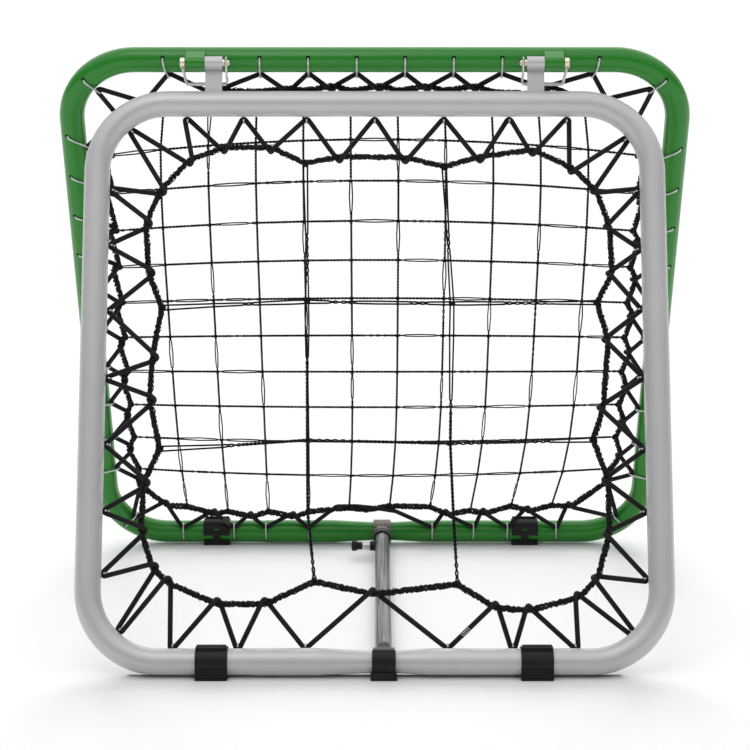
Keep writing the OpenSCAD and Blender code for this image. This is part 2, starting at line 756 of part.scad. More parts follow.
module foot() {
    difference() {
        translate([0, 0, run_height]) rotate([90, 0, 90]) {
            linear_extrude(foot_w, center = true) foot_section();
            linear_extrude(lip_w, center = true) foot_lip();
        }
        // Under the head, that side is open on both sides of a middle web
        for (s = [-1, 1])
            translate([s * (web_w / 2 + 20), 13, (foot_sole + head_z) / 2])
                cube([40, 24, head_z - foot_sole], center = true);
        translate([0, 14, run_height + 6]) cube([window_w, 20, window_h], center = true);
    }
}

module front_foot(i) {
    color(black_plastic) translate([front_foot_x[i], front_run_y, 0]) foot();
}

module rear_foot(i) {
    color(black_plastic) translate([rear_foot_x[i], rear_run_y, 0]) rotate([0, 0, 180]) foot();
}

module front_foot_left() { front_foot(0); }
module front_foot_right() { front_foot(1); }
module rear_foot_left() { rear_foot(0); }
module rear_foot_right() { rear_foot(1); }

// ---- Strut: its frame has X across, Y from the front neck to the rear one, Z up ----

strap_wall = 2.4;
front_strap_w = 24;
rear_strap_w = 23.6;
strut_r = strut_d / 2;
strut_wall = 1.5;
inner_r = inner_d / 2;
tongue_w = 14;
rivet_r = 2.6;
rivet_head_r = 5.6;
front_rivet_y = 27;
rear_rivet_y = 24.5;
// The rear strap turns freely on its neck, so that the strut's swing and draw stay in step with the fold
rear_neck_gap = 0.95;

module on_strut() {
    translate([strut_x, front_run_y, run_height]) children();
}

// Strap round a neck: a ring with two tongues that hold a tube of radius hold_r between them
module strut_strap(width, bore_r, hold_r, rivet_y) {
    ring_r = bore_r + strap_wall;
    difference() {
        union() {
            along_x(-width / 2, width / 2) circle(ring_r);
            for (s = [-1, 1]) {
                z = s > 0 ? hold_r : -hold_r - strap_wall;
                translate([-tongue_w / 2, 6, z]) cube([tongue_w, rivet_y - 6, strap_wall]);
                translate([0, rivet_y, z]) cylinder(d = tongue_w, h = strap_wall);
                translate([-width / 2, 6, z]) cube([width, 8, strap_wall]);
            }
        }
        along_x(-width, width) circle(bore_r);
        translate([0, rivet_y, -20]) cylinder(r = rivet_r, h = 40);
    }
}

// Domed rivet through both tongues
module strap_rivet(hold_r, rivet_y) {
    reach = hold_r + strap_wall;
    dome = [
        [0, -reach - 2.6], [2.6, -reach - 2.2], [4.6, -reach - 1.2], [rivet_head_r, -reach], [rivet_r, -reach]
    ];
    translate([0, rivet_y, 0]) rotate_extrude()
        polygon(concat(dome, [for (i = [4:-1:0]) [dome[i][0], -dome[i][1]]]));
}

module front_strut_strap() {
    color(bare_metal) on_strut() strut_strap(front_strap_w, neck_r + running_gap, strut_r, front_rivet_y);
}

module front_strap_rivet() {
    color(steel) on_strut() strap_rivet(strut_r, front_rivet_y);
}

// Moulded pad over the front and the underside of the front strap, flared to a sole
module front_strap_pad() {
    inside = neck_r + running_gap + strap_wall;
    sole_z = -run_height + 0.3;
    color(black_plastic) on_strut() {
        difference() {
            union() {
                intersection() {
                    along_x(-13, 13) circle(inside + 3);
                    translate([-20, -30, sole_z]) cube(60);
                }
                hull() {
                    translate([-13, -inside - 3, -8]) cube([26, inside + 6, 1]);
                    translate([-14.6, -inside - 3, sole_z]) cube([29.2, inside + 12, 2]);
                }
            }
            along_x(-20, 20) circle(inside);
            // Open over the strap's top and at its back
            translate([-20, -8, 0]) cube([40, 40, 30]);
            translate([-20, 4, -14]) cube([40, 30, 20]);
        }
    }
}

tube_start = 17;
tube_end = strut_l - 35;
slot_w = 5.4;
plunger_y = strut_l - 77;
plunger_hole_r = 2.6;

module strut_outer_tube() {
    color(steel) on_strut() difference() {
        translate([0, tube_start, 0]) rotate([-90, 0, 0]) cylinder(r = strut_r, h = tube_end - tube_start);
        translate([0, tube_start - 1, 0]) rotate([-90, 0, 0])
            cylinder(r = strut_r - strut_wall, h = tube_end - tube_start + 2);
        translate([0, front_rivet_y, -20]) cylinder(r = rivet_r, h = 40);
        translate([0, plunger_y, 0]) rotate([0, -90, 0]) cylinder(r = plunger_hole_r, h = 20);
    }
}

bush_r = 11.4;

// Black bush: a sleeve over the chromed tube's mouth with a lip that guides the inner tube
module strut_bush() {
    sleeve_l = 7;
    lip_l = 2.5;
    color(black_plastic) on_strut() translate([0, tube_end, 0]) rotate([-90, 0, 0]) difference() {
        translate([0, 0, -sleeve_l]) cylinder(r = bush_r, h = sleeve_l + lip_l);
        translate([0, 0, -sleeve_l - 1]) cylinder(r = strut_r, h = sleeve_l + 1);
        cylinder(r = strut_r - strut_wall, h = 10, center = true);
    }
}

inner_start = strut_l - 440;
inner_end = strut_l - 16.5;
rear_rivet_at = strut_l - rear_rivet_y;

module strut_inner_tube() {
    color(steel) on_strut() difference() {
        translate([0, inner_start, 0]) rotate([-90, 0, 0]) cylinder(r = inner_r, h = inner_end - inner_start);
        translate([0, inner_start - 1, 0]) rotate([-90, 0, 0])
            cylinder(r = inner_r - strut_wall, h = inner_end - inner_start + 2);
        translate([0, rear_rivet_at, -20]) cylinder(r = rivet_r, h = 40);
        // The plunger's nose rides in this slot: it starts at the nose and runs towards the front
        translate([-20, plunger_y - strut_reach - 4, -slot_w / 2]) cube([20, strut_reach + 7, slot_w]);
    }
}

module rear_strut_strap() {
    color(bare_metal) on_strut() translate([0, strut_l, 0]) rotate([0, 0, 180])
        strut_strap(rear_strap_w, neck_r + rear_neck_gap, inner_r, rear_rivet_y);
}

module rear_strap_rivet() {
    color(steel) on_strut() translate([0, strut_l, 0]) rotate([0, 0, 180]) strap_rivet(inner_r, rear_rivet_y);
}

// ---- Plunger: drawn along Z from the strut's centre line outwards, then laid along -X ----

plunger_travel = 7;
base_out = 16.4;
barrel_end = 26.2;
knob_end = 41;
barrel_r = 5;
barrel_bore_r = 3.8;
stem_r = 1.9;
nose_r = 2.4;

module on_plunger() {
    on_strut() translate([0, plunger_y, 0]) rotate([0, -90, 0]) children();
}

// Base collar, saddled on the chromed tube
module plunger_base() {
    color(black_plastic) on_plunger() difference() {
        union() {
            translate([0, 0, 4]) cylinder(r = 6.6, h = base_out - 4 - 0.8);
            translate([0, 0, base_out - 0.8]) cylinder(r1 = 6.6, r2 = 5.8, h = 0.8);
        }
        rotate([90, 0, 0]) cylinder(r = strut_r, h = 40, center = true);
        translate([0, 0, 3]) cylinder(r = barrel_bore_r, h = 20);
    }
}

module plunger_barrel() {
    color(steel) on_plunger() difference() {
        translate([0, 0, base_out]) cylinder(r = barrel_r, h = barrel_end - base_out);
        translate([0, 0, base_out - 1]) cylinder(r = barrel_bore_r, h = barrel_end - base_out - 1);
        cylinder(r = stem_r + running_gap, h = 40);
    }
}

// Pin with its nose in the inner tube's slot and a collar for its spring
collar_z = 10.4;
collar_t = 1.2;
module plunger_pin() {
    nose_in = inner_r - strut_wall - 0.6;
    color(steel) on_plunger() rotate_extrude() polygon([
        [0, nose_in], [nose_r - 0.5, nose_in], [nose_r, nose_in + 0.5], [nose_r, collar_z],
        [barrel_bore_r - running_gap, collar_z], [barrel_bore_r - running_gap, collar_z + collar_t],
        [stem_r, collar_z + collar_t], [stem_r, knob_end - 6], [0, knob_end - 6]
    ]);
}

// Pull knob: a neck that flares to a rounded cap
module plunger_knob() {
    foot_z = barrel_end + 0.3;
    color(black_plastic) on_plunger() difference() {
        rotate_extrude() polygon([
            [0, foot_z], [4.9, foot_z], [4.9, foot_z + 3], [5.2, foot_z + 5.5], [6.2, foot_z + 8],
            [7.1, foot_z + 10], [7.1, knob_end - 2], [6.3, knob_end - 0.6], [5, knob_end], [0, knob_end]
        ]);
        translate([0, 0, foot_z - 1]) cylinder(r = stem_r, h = knob_end - 6 - foot_z + 1);
    }
}

front_hoop();
rear_hoop();
front_hinge_strap_left();
front_hinge_strap_right();
rear_hinge_barrel_left();
rear_hinge_barrel_right();
hinge_pin_left();
hinge_pin_right();
pin_bail_left();
pin_bail_right();
front_foot_left();
front_foot_right();
rear_foot_left();
rear_foot_right();
front_hooks();
rear_hooks();
front_net();
rear_net();
front_border_rope();
rear_border_rope();
front_bungee();
rear_bungee();
front_bungee_crimp();
rear_bungee_crimp();
front_strut_strap();
front_strap_pad();
front_strap_rivet();
strut_outer_tube();
strut_bush();
strut_inner_tube();
rear_strut_strap();
rear_strap_rivet();
plunger_base();
plunger_barrel();
plunger_pin();
plunger_knob();
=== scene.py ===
# %% [markdown]
# # A two-sided pitch back rebounder
# Two tube hoops lean together like a tent. A net hangs in each one from a black elastic cord that
# zigzags between wire hooks and a thick border rope. The solids of the frame come from CAD. This
# notebook paints them, and makes again in finer detail what a solid can't show: braid, twine,
# knots and welds.

# %% Load the solids
import json
import math

import bmesh
import bpy
import numpy as np
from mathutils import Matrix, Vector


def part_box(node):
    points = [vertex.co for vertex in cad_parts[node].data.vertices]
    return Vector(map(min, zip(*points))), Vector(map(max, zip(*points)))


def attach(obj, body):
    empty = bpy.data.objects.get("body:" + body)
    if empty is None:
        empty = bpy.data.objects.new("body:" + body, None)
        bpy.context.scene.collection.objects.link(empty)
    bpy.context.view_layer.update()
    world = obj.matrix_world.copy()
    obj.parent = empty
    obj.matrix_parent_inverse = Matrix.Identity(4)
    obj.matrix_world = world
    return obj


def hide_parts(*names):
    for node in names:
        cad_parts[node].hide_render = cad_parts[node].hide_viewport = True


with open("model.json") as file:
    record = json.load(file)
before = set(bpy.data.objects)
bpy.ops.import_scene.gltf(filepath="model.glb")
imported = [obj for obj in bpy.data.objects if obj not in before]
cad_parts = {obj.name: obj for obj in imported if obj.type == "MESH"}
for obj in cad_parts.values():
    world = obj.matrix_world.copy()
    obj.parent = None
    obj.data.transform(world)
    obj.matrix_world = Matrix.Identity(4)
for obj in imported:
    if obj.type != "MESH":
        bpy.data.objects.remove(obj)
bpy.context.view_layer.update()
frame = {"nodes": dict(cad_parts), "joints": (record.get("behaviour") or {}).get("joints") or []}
MM = 0.001

# %% [markdown]
# ## Camera
# A long lens from 2.6 m away, a little above the top of the frame, keeps both hoops nearly
# square. The lens in millimetres comes from the width of the picture and the focal length, both
# counted in pixels.

# %% Camera
picture_width_px = 750
focal_length_px = 2143
sensor_mm = 36
camera_place = (0.3 * MM, -2557.5 * MM, 757.4 * MM)
camera_pitch = 10.44

camera = bpy.data.objects.new("camera", bpy.data.cameras.new("camera"))
camera.data.sensor_width = sensor_mm
camera.data.lens = sensor_mm * focal_length_px / picture_width_px
camera.location = camera_place
camera.rotation_euler = (math.radians(90 - camera_pitch), 0, 0)
bpy.context.scene.collection.objects.link(camera)
bpy.context.scene.camera = camera
bpy.context.scene.view_settings.view_transform = "Standard"
print("lens:", round(camera.data.lens, 1), "mm")

# %% [markdown]
# ## Shader maths
# A material's maths is easier to read as an expression than as a list of nodes and links. The
# class below holds one output socket. Python's operators on it add Math nodes, so 1 - mask works
# as it does with numbers.

# %% Sockets as values
def plug(tree, value, socket):
    """Links a Value to a socket, or sets the socket to a number, colour or vector."""
    if isinstance(value, Value):
        tree.links.new(value.socket, socket)
    else:
        socket.default_value = value


class Value:
    """The output of a node, with operators that add Math nodes."""

    def __init__(self, tree, socket):
        self.tree, self.socket = tree, socket

    def maths(self, operation, *inputs):
        node = self.tree.nodes.new("ShaderNodeMath")
        node.operation = operation
        for value, socket in zip(inputs, node.inputs):
            plug(self.tree, value, socket)
        return Value(self.tree, node.outputs[0])

    def __add__(self, other):
        return self.maths("ADD", self, other)

    def __sub__(self, other):
        return self.maths("SUBTRACT", self, other)

    def __rsub__(self, other):
        return self.maths("SUBTRACT", other, self)

    def __mul__(self, other):
        return self.maths("MULTIPLY", self, other)

    def __truediv__(self, other):
        return self.maths("DIVIDE", self, other)

    def __rtruediv__(self, other):
        return self.maths("DIVIDE", other, self)

    def __pow__(self, other):
        return self.maths("POWER", self, other)

    def __neg__(self):
        return self.maths("MULTIPLY", self, -1.0)

    __radd__ = __add__
    __rmul__ = __mul__

    def sine(self):
        return self.maths("SINE", self)

    def larger(self, other):
        return self.maths("MAXIMUM", self, other)

    def step(self, low, high):
        """0 below low, 1 above high, and smooth between them."""
        node = self.tree.nodes.new("ShaderNodeMapRange")
        node.interpolation_type = "SMOOTHSTEP"
        for value, socket in zip((self, low, high), node.inputs):
            plug(self.tree, value, socket)
        return Value(self.tree, node.outputs[0])


# %% [markdown]
# A finish is one material on the Principled shader. Its node method adds any other node: the
# settings come first, because some of them change the sockets, and then the sockets' values.

# %% Finishes
class Finish:
    """A procedural material, and the record's slot that it belongs to."""

    def __init__(self, name, slot, colour, roughness, **shader):
        self.slot = slot
        self.material = bpy.data.materials.new(name)
        self.material.use_nodes = True
        self.tree = self.material.node_tree
        self.shader = self.tree.nodes["Principled BSDF"]
        self.set("Base Color", (*colour, 1))
        self.set("Roughness", roughness)
        for socket, value in shader.items():
            self.set(socket.replace("_", " ").title().replace("Ior", "IOR"), value)

    def set(self, socket, value):
        plug(self.tree, value, self.shader.inputs[socket])

    def node(self, kind, settings=None, values=None, output=0):
        made = self.tree.nodes.new(kind)
        for key, value in (settings or {}).items():
            setattr(made, key, value)
        for key, value in (values or {}).items():
            plug(self.tree, value, made.inputs[key])
        return Value(self.tree, made.outputs[output])

    def place(self):
        return self.node("ShaderNodeTexCoord", output="Object")

    def noise(self, scale, detail=2.0, roughness=0.5, at=None):
        where = self.place() if at is None else at
        return self.node(
            "ShaderNodeTexNoise",
            values={"Vector": where, "Scale": scale, "Detail": detail, "Roughness": roughness},
        )

    def along_and_round(self):
        """Metres along a cord, and turns round it, from its UV map."""
        uv = self.node("ShaderNodeUVMap", {"uv_map": "cord"})
        split = self.tree.nodes.new("ShaderNodeSeparateXYZ")
        plug(self.tree, uv, split.inputs[0])
        return Value(self.tree, split.outputs[0]), Value(self.tree, split.outputs[1])

    def mix(self, mask, low, high):
        """One colour where the mask is 0, and another where it is 1."""
        return self.node(
            "ShaderNodeMix", {"data_type": "RGBA"}, {0: mask, 6: (*low, 1), 7: (*high, 1)}, 2
        )

    def bump(self, height, depth, edge=0.0):
        """Raises the surface by height times depth in metres, over edges rounded by edge."""
        values = {"Height": height, "Distance": depth, "Strength": 1.0}
        if edge:
            values["Normal"] = self.node("ShaderNodeBevel", {"samples": 4}, {"Radius": edge})
        self.set("Normal", self.node("ShaderNodeBump", values=values))


# %% [markdown]
# ## Powder coat
# Both hoops are powder coated. The powder melts into a skin that is smooth but not flat: seen
# closely it has the dimples of an orange's peel, one or two millimetres wide. The silver one holds
# fine flakes that make it a little metallic, and the green one is a plain gloss.

# %% Powder coat
def powder_coat(name, slot, colour, pale, roughness, flakes, **shader):
    finish = Finish(name, slot, colour, roughness, **shader)
    peel = finish.noise(650.0, detail=1.5)
    cloud = finish.noise(9.0, detail=3.0)
    grain = finish.noise(5200.0, detail=0.0)
    finish.set("Base Color", finish.mix((cloud * 0.6 + grain * flakes).step(0.2, 0.9), colour, pale))
    finish.set("Roughness", roughness + peel * 0.06 + cloud * 0.05)
    finish.bump(peel, 0.05 * MM, edge=0.35 * MM)
    return finish


silver = powder_coat(
    "silver powder coat", "silver_paint", (0.50, 0.50, 0.505), (0.57, 0.57, 0.575), 0.34, 0.5,
    metallic=0.25, coat_weight=0.25, coat_roughness=0.22,
)
green = powder_coat(
    "green powder coat", "green_paint", (0.012, 0.205, 0.011), (0.017, 0.250, 0.016), 0.25, 0.1,
    coat_weight=0.25, coat_roughness=0.1, specular_ior_level=0.35,
)
print("paints:", silver.material.name, green.material.name)

# %% [markdown]
# ## Metals
# The pins are zinc plated and yellowish, the strut's outer tube is chromed, and its two straps are
# plated dull; the front strap and its rivet take a darker copy of that plating, as painted shade.
# The inner tube, the plunger's metal, the hooks and the bails are bright drawn steel. Drawing and
# polishing leave fine marks, so the roughness varies a little. Stains and streaks darken the colour
# in places, and on the chrome the dark lengthwise streaks are a painted reflection.

# %% Metals
def metal(
    name, slot, colour, dark, roughness, scratch, grain=(60.0, 900.0, 900.0), edge=0.2 * MM, stained=0.5
):
    finish = Finish(name, slot, colour, roughness, metallic=1.0)
    where = finish.node(
        "ShaderNodeMapping", values={"Vector": finish.place(), "Scale": grain}
    )
    lines = finish.noise(1.0, detail=3.0, at=where)
    stain = finish.noise(120.0, detail=4.0, roughness=0.6)
    # Darker patches: stains, and streaks along the grain; on the chrome these streaks are a painted
    # reflection.
    wear_and_reflection_streaks = (stain * stained + lines * (1 - stained)).step(0.38, 0.62)
    finish.set("Base Color", finish.mix(wear_and_reflection_streaks, colour, dark))
    finish.set("Roughness", roughness + lines * scratch + stain * scratch)
    finish.bump(lines, 0.01 * MM, edge=edge)
    return finish


zinc = metal("yellow zinc", "zinc", (0.90, 0.84, 0.68), (0.74, 0.67, 0.52), 0.30, 0.10)
steel = metal("drawn steel", "steel", (0.68, 0.68, 0.69), (0.52, 0.52, 0.53), 0.22, 0.10)
# The chrome's dark lengthwise streaks are a painted reflection, not marks in the metal.
chrome = metal(
    "chrome", "chrome", (0.34, 0.34, 0.35), (0.09, 0.09, 0.10), 0.24, 0.12, (420.0, 6.0, 420.0), stained=0.1
)
dull_steel = metal("dull plated strap", "bare_metal", (0.26, 0.24, 0.22), (0.18, 0.165, 0.15), 0.34, 0.14)
# The front strap and its rivet get a darker copy of the same dull plating: painted shade.
shaded_strap_copy = metal("strap plating painted darker", "bare_metal", (0.15, 0.145, 0.14), (0.07, 0.068, 0.066), 0.3, 0.14)
print("metals: 5")

# %% [markdown]
# ## Moulded plastic
# The feet, the pad, the bush, and the plunger's base and knob are moulded in black plastic. The
# mould's grain makes it satin, and handling has rubbed it paler here and there.

# %% Moulded plastic
plastic = Finish("black moulding", "black_plastic", (0.012, 0.012, 0.013), 0.40, specular_ior_level=0.25)
pebble = plastic.noise(1500.0, detail=2.0)
rub = plastic.noise(70.0, detail=4.0, roughness=0.65)
plastic.set("Base Color", plastic.mix(rub.step(0.5, 0.8), (0.007, 0.007, 0.008), (0.018, 0.018, 0.019)))
plastic.set("Roughness", 0.36 + rub * 0.16 + pebble * 0.05)
plastic.bump(pebble, 0.04 * MM, edge=0.5 * MM)

# %% [markdown]
# ## Cords
# The elastic cord has a woven sleeve: two sets of yarns cross on the slant, one over the other.
# Its pattern is two waves that run both ways round the cord, worked out from the distance along
# it and the turn round it. The net's yarns are twisted, so one slanting wave is enough. On both,
# the crests are painted paler and the grooves darker, as painted highlight and shade.

# %% Cords
def woven(name, slot, round_count, pitch, colour, pale, depth):
    finish = Finish(name, slot, colour, 0.62, sheen_weight=0.03, sheen_roughness=0.4, specular_ior_level=0.14)
    along, turn = finish.along_and_round()
    forward = ((along * (1 / pitch) + turn * round_count) * math.tau).sine()
    backward = ((along * (1 / pitch) - turn * round_count) * math.tau).sine()
    yarn = forward.larger(backward) * 0.5 + 0.5
    fuzz = finish.noise(2600.0, detail=3.0)
    # The yarns' crests are painted paler and the grooves between them darker: painted highlight and shade.
    finish.set("Base Color", finish.mix((yarn * 0.7 + fuzz * 0.5).step(0.5, 1.1), colour, pale))
    finish.set("Roughness", 0.52 + fuzz * 0.2)
    finish.bump(yarn + fuzz * 0.35, depth)
    return finish


def twisted(name, slot, pitch, colour, pale, depth):
    finish = Finish(name, slot, colour, 0.7, sheen_weight=0.02, sheen_roughness=0.5, specular_ior_level=0.12)
    along, turn = finish.along_and_round()
    ply = ((along * (1 / pitch) + turn * 2.0) * math.tau).sine() * 0.5 + 0.5
    fuzz = finish.noise(3200.0, detail=3.0)
    # The plies' crests are painted paler and the grooves darker, as painted highlight and shade; the fuzz
    # adds random tone.
    finish.set("Base Color", finish.mix((ply * 0.6 + fuzz * 0.6).step(0.5, 1.1), colour, pale))
    finish.set("Roughness", 0.6 + fuzz * 0.25)
    finish.bump(ply + fuzz * 0.5, depth)
    return finish


sleeve = woven(
    "woven sleeve", "black_bungee", 6.0, 5.0 * MM, (0.005, 0.005, 0.006), (0.022, 0.022, 0.023), 0.2 * MM
)
yarn = twisted("black yarn", "black_cord", 2.6 * MM, (0.004, 0.004, 0.005), (0.040, 0.040, 0.041), 0.25 * MM)
twine = twisted(
    "black twine", "black_cord", 1.8 * MM, (0.004, 0.004, 0.005), (0.016, 0.016, 0.017), 0.12 * MM
)
print("cords: 3")

# %% [markdown]
# ## Painting the solids
# A solid whose shape is right only needs its finish: the material is put in the slots of its
# object. The cords, crimps, nets, hooks, bails and the strut's pad aren't here, because pieces
# replace them below.

# %% Painting the solids
painted = {
    "front_hoop": silver,
    "front_hinge_strap_left": silver,
    "front_hinge_strap_right": silver,
    "rear_hoop": green,
    "rear_hinge_barrel_left": green,
    "rear_hinge_barrel_right": green,
    "hinge_pin_left": zinc,
    "hinge_pin_right": zinc,
    "front_foot_left": plastic,
    "front_foot_right": plastic,
    "rear_foot_left": plastic,
    "rear_foot_right": plastic,
    "front_strut_strap": shaded_strap_copy,
    "rear_strut_strap": dull_steel,
    "front_strap_rivet": shaded_strap_copy,
    "rear_strap_rivet": dull_steel,
    "strut_outer_tube": chrome,
    "strut_inner_tube": steel,
    "strut_bush": plastic,
    "plunger_base": plastic,
    "plunger_barrel": steel,
    "plunger_pin": steel,
    "plunger_knob": plastic,
}


def paint(node, finish):
    """Gives a solid its finish, in every slot it has."""
    slots = frame["nodes"][node].material_slots
    for slot in slots:
        slot.material = finish.material


for node_name, node_finish in painted.items():
    paint(node_name, node_finish)
print("painted:", len(painted))

# %% [markdown]
# ## Where the hoops are
# Every cord lies in the plane of its hoop, so it is easiest to draw there: across, towards the
# other hoop, and up the slope from the middle of the top run, all in millimetres. The hinge line
# comes from the frame's fold joint, and each hoop's lean turns its drawing into the stance.

# %% Where the hoops are
joints = frame["joints"]
if isinstance(joints, list):
    joints = {joint["name"]: joint for joint in joints}
hinge_y, hinge_z = (1000 * v for v in joints["fold"]["pos_m"][1:])

tube_r = 29.5 / 2
bend_r = 80
front_w, front_h = 668, 670
rear_w, rear_h = 750, 750
front_lean = math.radians(20.5)
run_height = 16.5
eye_set, eye_rise = -4.5, 48
barrel_set, barrel_rise = 21.5, 7
rear_reach = barrel_rise + rear_h - 2 * tube_r
rear_lean = math.acos((hinge_z - run_height) / math.hypot(rear_reach, barrel_set)) - math.atan2(
    barrel_set, rear_reach
)


class Hoop:
    """One hoop's own frame, its size and the body it belongs to."""

    def __init__(self, body, width, height, lean, facing, hinge_set, hinge_rise):
        self.body, self.width, self.height = body, width, height
        self.lean, self.facing = lean, facing
        self.middle = np.zeros(3)
        self.middle = np.array([0, hinge_y, hinge_z]) - self.at(0, hinge_set, hinge_rise) / MM

    def at(self, x, inside, up):
        """A point of the hoop's frame in metres, in the stance."""
        sine, cosine = math.sin(self.lean), math.cos(self.lean)
        y = self.facing * (inside * cosine + up * sine)
        z = -inside * sine + up * cosine
        return (np.array([x, y, z]) + self.middle) * MM


front = Hoop("front_frame", front_w, front_h, front_lean, 1, eye_set, eye_rise)
rear = Hoop("rear_frame", rear_w, rear_h, rear_lean, -1, barrel_set, barrel_rise)
for hoop, solid in ((front, "front_hoop"), (rear, "rear_hoop")):
    drawn = hoop.at(0, 0, tube_r - hoop.height + tube_r)
    low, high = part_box(solid)
    print(solid, "bottom run at", np.round(drawn, 4))
    print("  solid from z", round(low[2], 4), "to", round(high[2], 4))

# %% [markdown]
# ## Hook stations
# The hooks sit at about even steps along each run, with one in each bend. The rear hoop has none
# beside its hinges or round the strut, and a few of its lowest are moved to clear the feet. A station
# holds its place, the way inwards, the angle of the cord's seat round the tube, and how far the pull
# of the cord slants the hook, clockwise.

# %% Hook stations
def corner_station(hoop, side, level, at, seat):
    """The station in a bend, at an angle from the level of the bend's side end."""
    straight = hoop.width / 2 - tube_r - bend_r
    bend_middle = -bend_r if level > 0 else -(hoop.height - 2 * tube_r - bend_r)
    across, up = bend_r * math.cos(math.radians(at)), bend_r * math.sin(math.radians(at))
    return (side * (straight + across), bend_middle + level * up, -side * (90 + level * at), seat, 0)


def stations(hoop, runs, bends, seats, slants):
    """All stations clockwise from the top left bend."""
    edge, low = hoop.width / 2 - tube_r, -(hoop.height - 2 * tube_r)
    top, right, bottom, left = runs
    lean_top, lean_side = slants
    top_seat, side_seat, low_seat, corner_seats = seats
    return (
        [corner_station(hoop, -1, 1, bends[0], corner_seats[0])]
        + [(x, 0, 180, top_seat, slant) for x, slant in zip(top, lean_top)]
        + [corner_station(hoop, 1, 1, bends[1], corner_seats[1])]
        + [(edge, -depth, -90, side_seat, slant) for depth, slant in zip(right, lean_side)]
        + [corner_station(hoop, 1, -1, 45, corner_seats[2])]
        + [(x, low, 0, low_seat, 0) for x in bottom]
        + [corner_station(hoop, -1, -1, 45, corner_seats[3])]
        + [(-edge, -depth, 90, side_seat, -slant) for depth, slant in reversed(list(zip(left, lean_side)))]
    )


front_seat, corner_seat, side_seat, top_seat = 33, 48, 28, 1
front.stations = stations(
    front,
    ([-217, -152, -79, 0, 80, 156, 222.5], [102, 171, 241, 320, 402, 473, 548],
     [223, 153.5, 81, -77, -152, -224.5], [101, 166, 242.5, 321, 397, 472, 542]),
    (50, 38), (front_seat, front_seat, front_seat, (corner_seat, corner_seat, corner_seat, front_seat)),
    ([0] * 7, [0] * 7),
)
rear_pitch = 56
rear.stations = stations(
    rear,
    ([-247 + i * (rear_pitch + 0.5) for i in range(10) if i not in (1, 8)],
     [112 + i * rear_pitch for i in range(10)],
     [246, 180, 134, 78, -90, -148, -191, -260],
     [95 + i * rear_pitch + 7 * min(max((i - 4) / 3, 0), 1) for i in range(10)]),
    (45, 45), (top_seat, side_seat, front_seat, (side_seat, side_seat, front_seat, front_seat)),
    ([6, 0, 0, 0, 0, 0, 0, -7], [18, 14, 10, 6, 0, 0, 0, 0, 0, -4]),
)
print("hooks:", len(front.stations), len(rear.stations))

# %% [markdown]
# ## Lines that bend
# Every cord is a surface swept along a line. The line is drawn as a few corners, each corner is
# rounded with a radius, and the line is then cut into even steps. Side directions are carried
# along it with the least twist, so that a braid drawn on them doesn't spin.

# %% Lines that bend
def unit(v):
    return v / np.linalg.norm(v)


def rounded(corners, radius, closed, arc_step=20.0):
    """Rounds a line's corners, by one radius or one each. It gives way where two are close."""
    corners = [np.asarray(c, float) for c in corners]
    count, line = len(corners), []
    radius = np.broadcast_to(radius, count)
    for i, here in enumerate(corners):
        if not closed and i in (0, count - 1):
            line.append(here)
            continue
        before, after = corners[i - 1], corners[(i + 1) % count]
        into, out = unit(here - before), unit(after - here)
        turn = math.acos(max(-1.0, min(1.0, float(into @ out))))
        if turn < 0.02:
            line.append(here)
            continue
        room = 0.499 * min(np.linalg.norm(here - before), np.linalg.norm(after - here))
        cut = min(radius[i] * math.tan(turn / 2), room)
        bend = cut / math.tan(turn / 2)
        start, side = here - into * cut, unit(out - into)
        centre = here + side * math.hypot(cut, bend)
        steps = max(2, math.ceil(math.degrees(turn) / arc_step))
        spoke, push = start - centre, into * bend
        for k in range(steps + 1):
            a = turn * k / steps
            line.append(centre + spoke * math.cos(a) + push * math.sin(a))
    return np.array(line)


def evenly(line, step, closed):
    """Cuts a line into equal steps of about the length asked for."""
    if closed:
        line = np.vstack([line, line[:1]])
    gone = np.concatenate([[0], np.cumsum(np.linalg.norm(np.diff(line, axis=0), axis=1))])
    count = max(2, round(gone[-1] / step))
    marks = np.linspace(0, gone[-1], count, endpoint=not closed)
    return np.stack([np.interp(marks, gone, line[:, k]) for k in range(3)], axis=1), gone[-1]


def carried(points, closed):
    """The line's direction at each point, and two sides carried along it."""
    ahead = np.roll(points, -1, axis=0) - points if closed else np.diff(points, axis=0)
    if not closed:
        ahead = np.vstack([ahead, ahead[-1:]])
    behind = np.roll(ahead, 1, axis=0)
    if not closed:
        behind[0] = ahead[0]
    along = ahead / np.linalg.norm(ahead, axis=1, keepdims=True)
    along = along + behind / np.linalg.norm(behind, axis=1, keepdims=True)
    along /= np.linalg.norm(along, axis=1, keepdims=True)
    side = np.empty_like(points)
    start = np.array([0.31, 0.8, 0.52])
    for i, t in enumerate(along):
        start = unit(start - (start @ t) * t)
        side[i] = start
    other = np.cross(along, side)
    if closed:
        end = unit(side[-1] - (side[-1] @ along[0]) * along[0])
        slip = math.atan2(float(np.cross(side[0], end) @ along[0]), float(side[0] @ end))
        a = -slip * np.arange(len(points))[:, None] / len(points)
        side, other = side * np.cos(a) + other * np.sin(a), other * np.cos(a) - side * np.sin(a)
    return along, side, other


# %% [markdown]
# A batch gathers many such surfaces and makes one mesh of them. The UV map named cord holds the
# metres along and the turns round, which the woven and twisted finishes read.

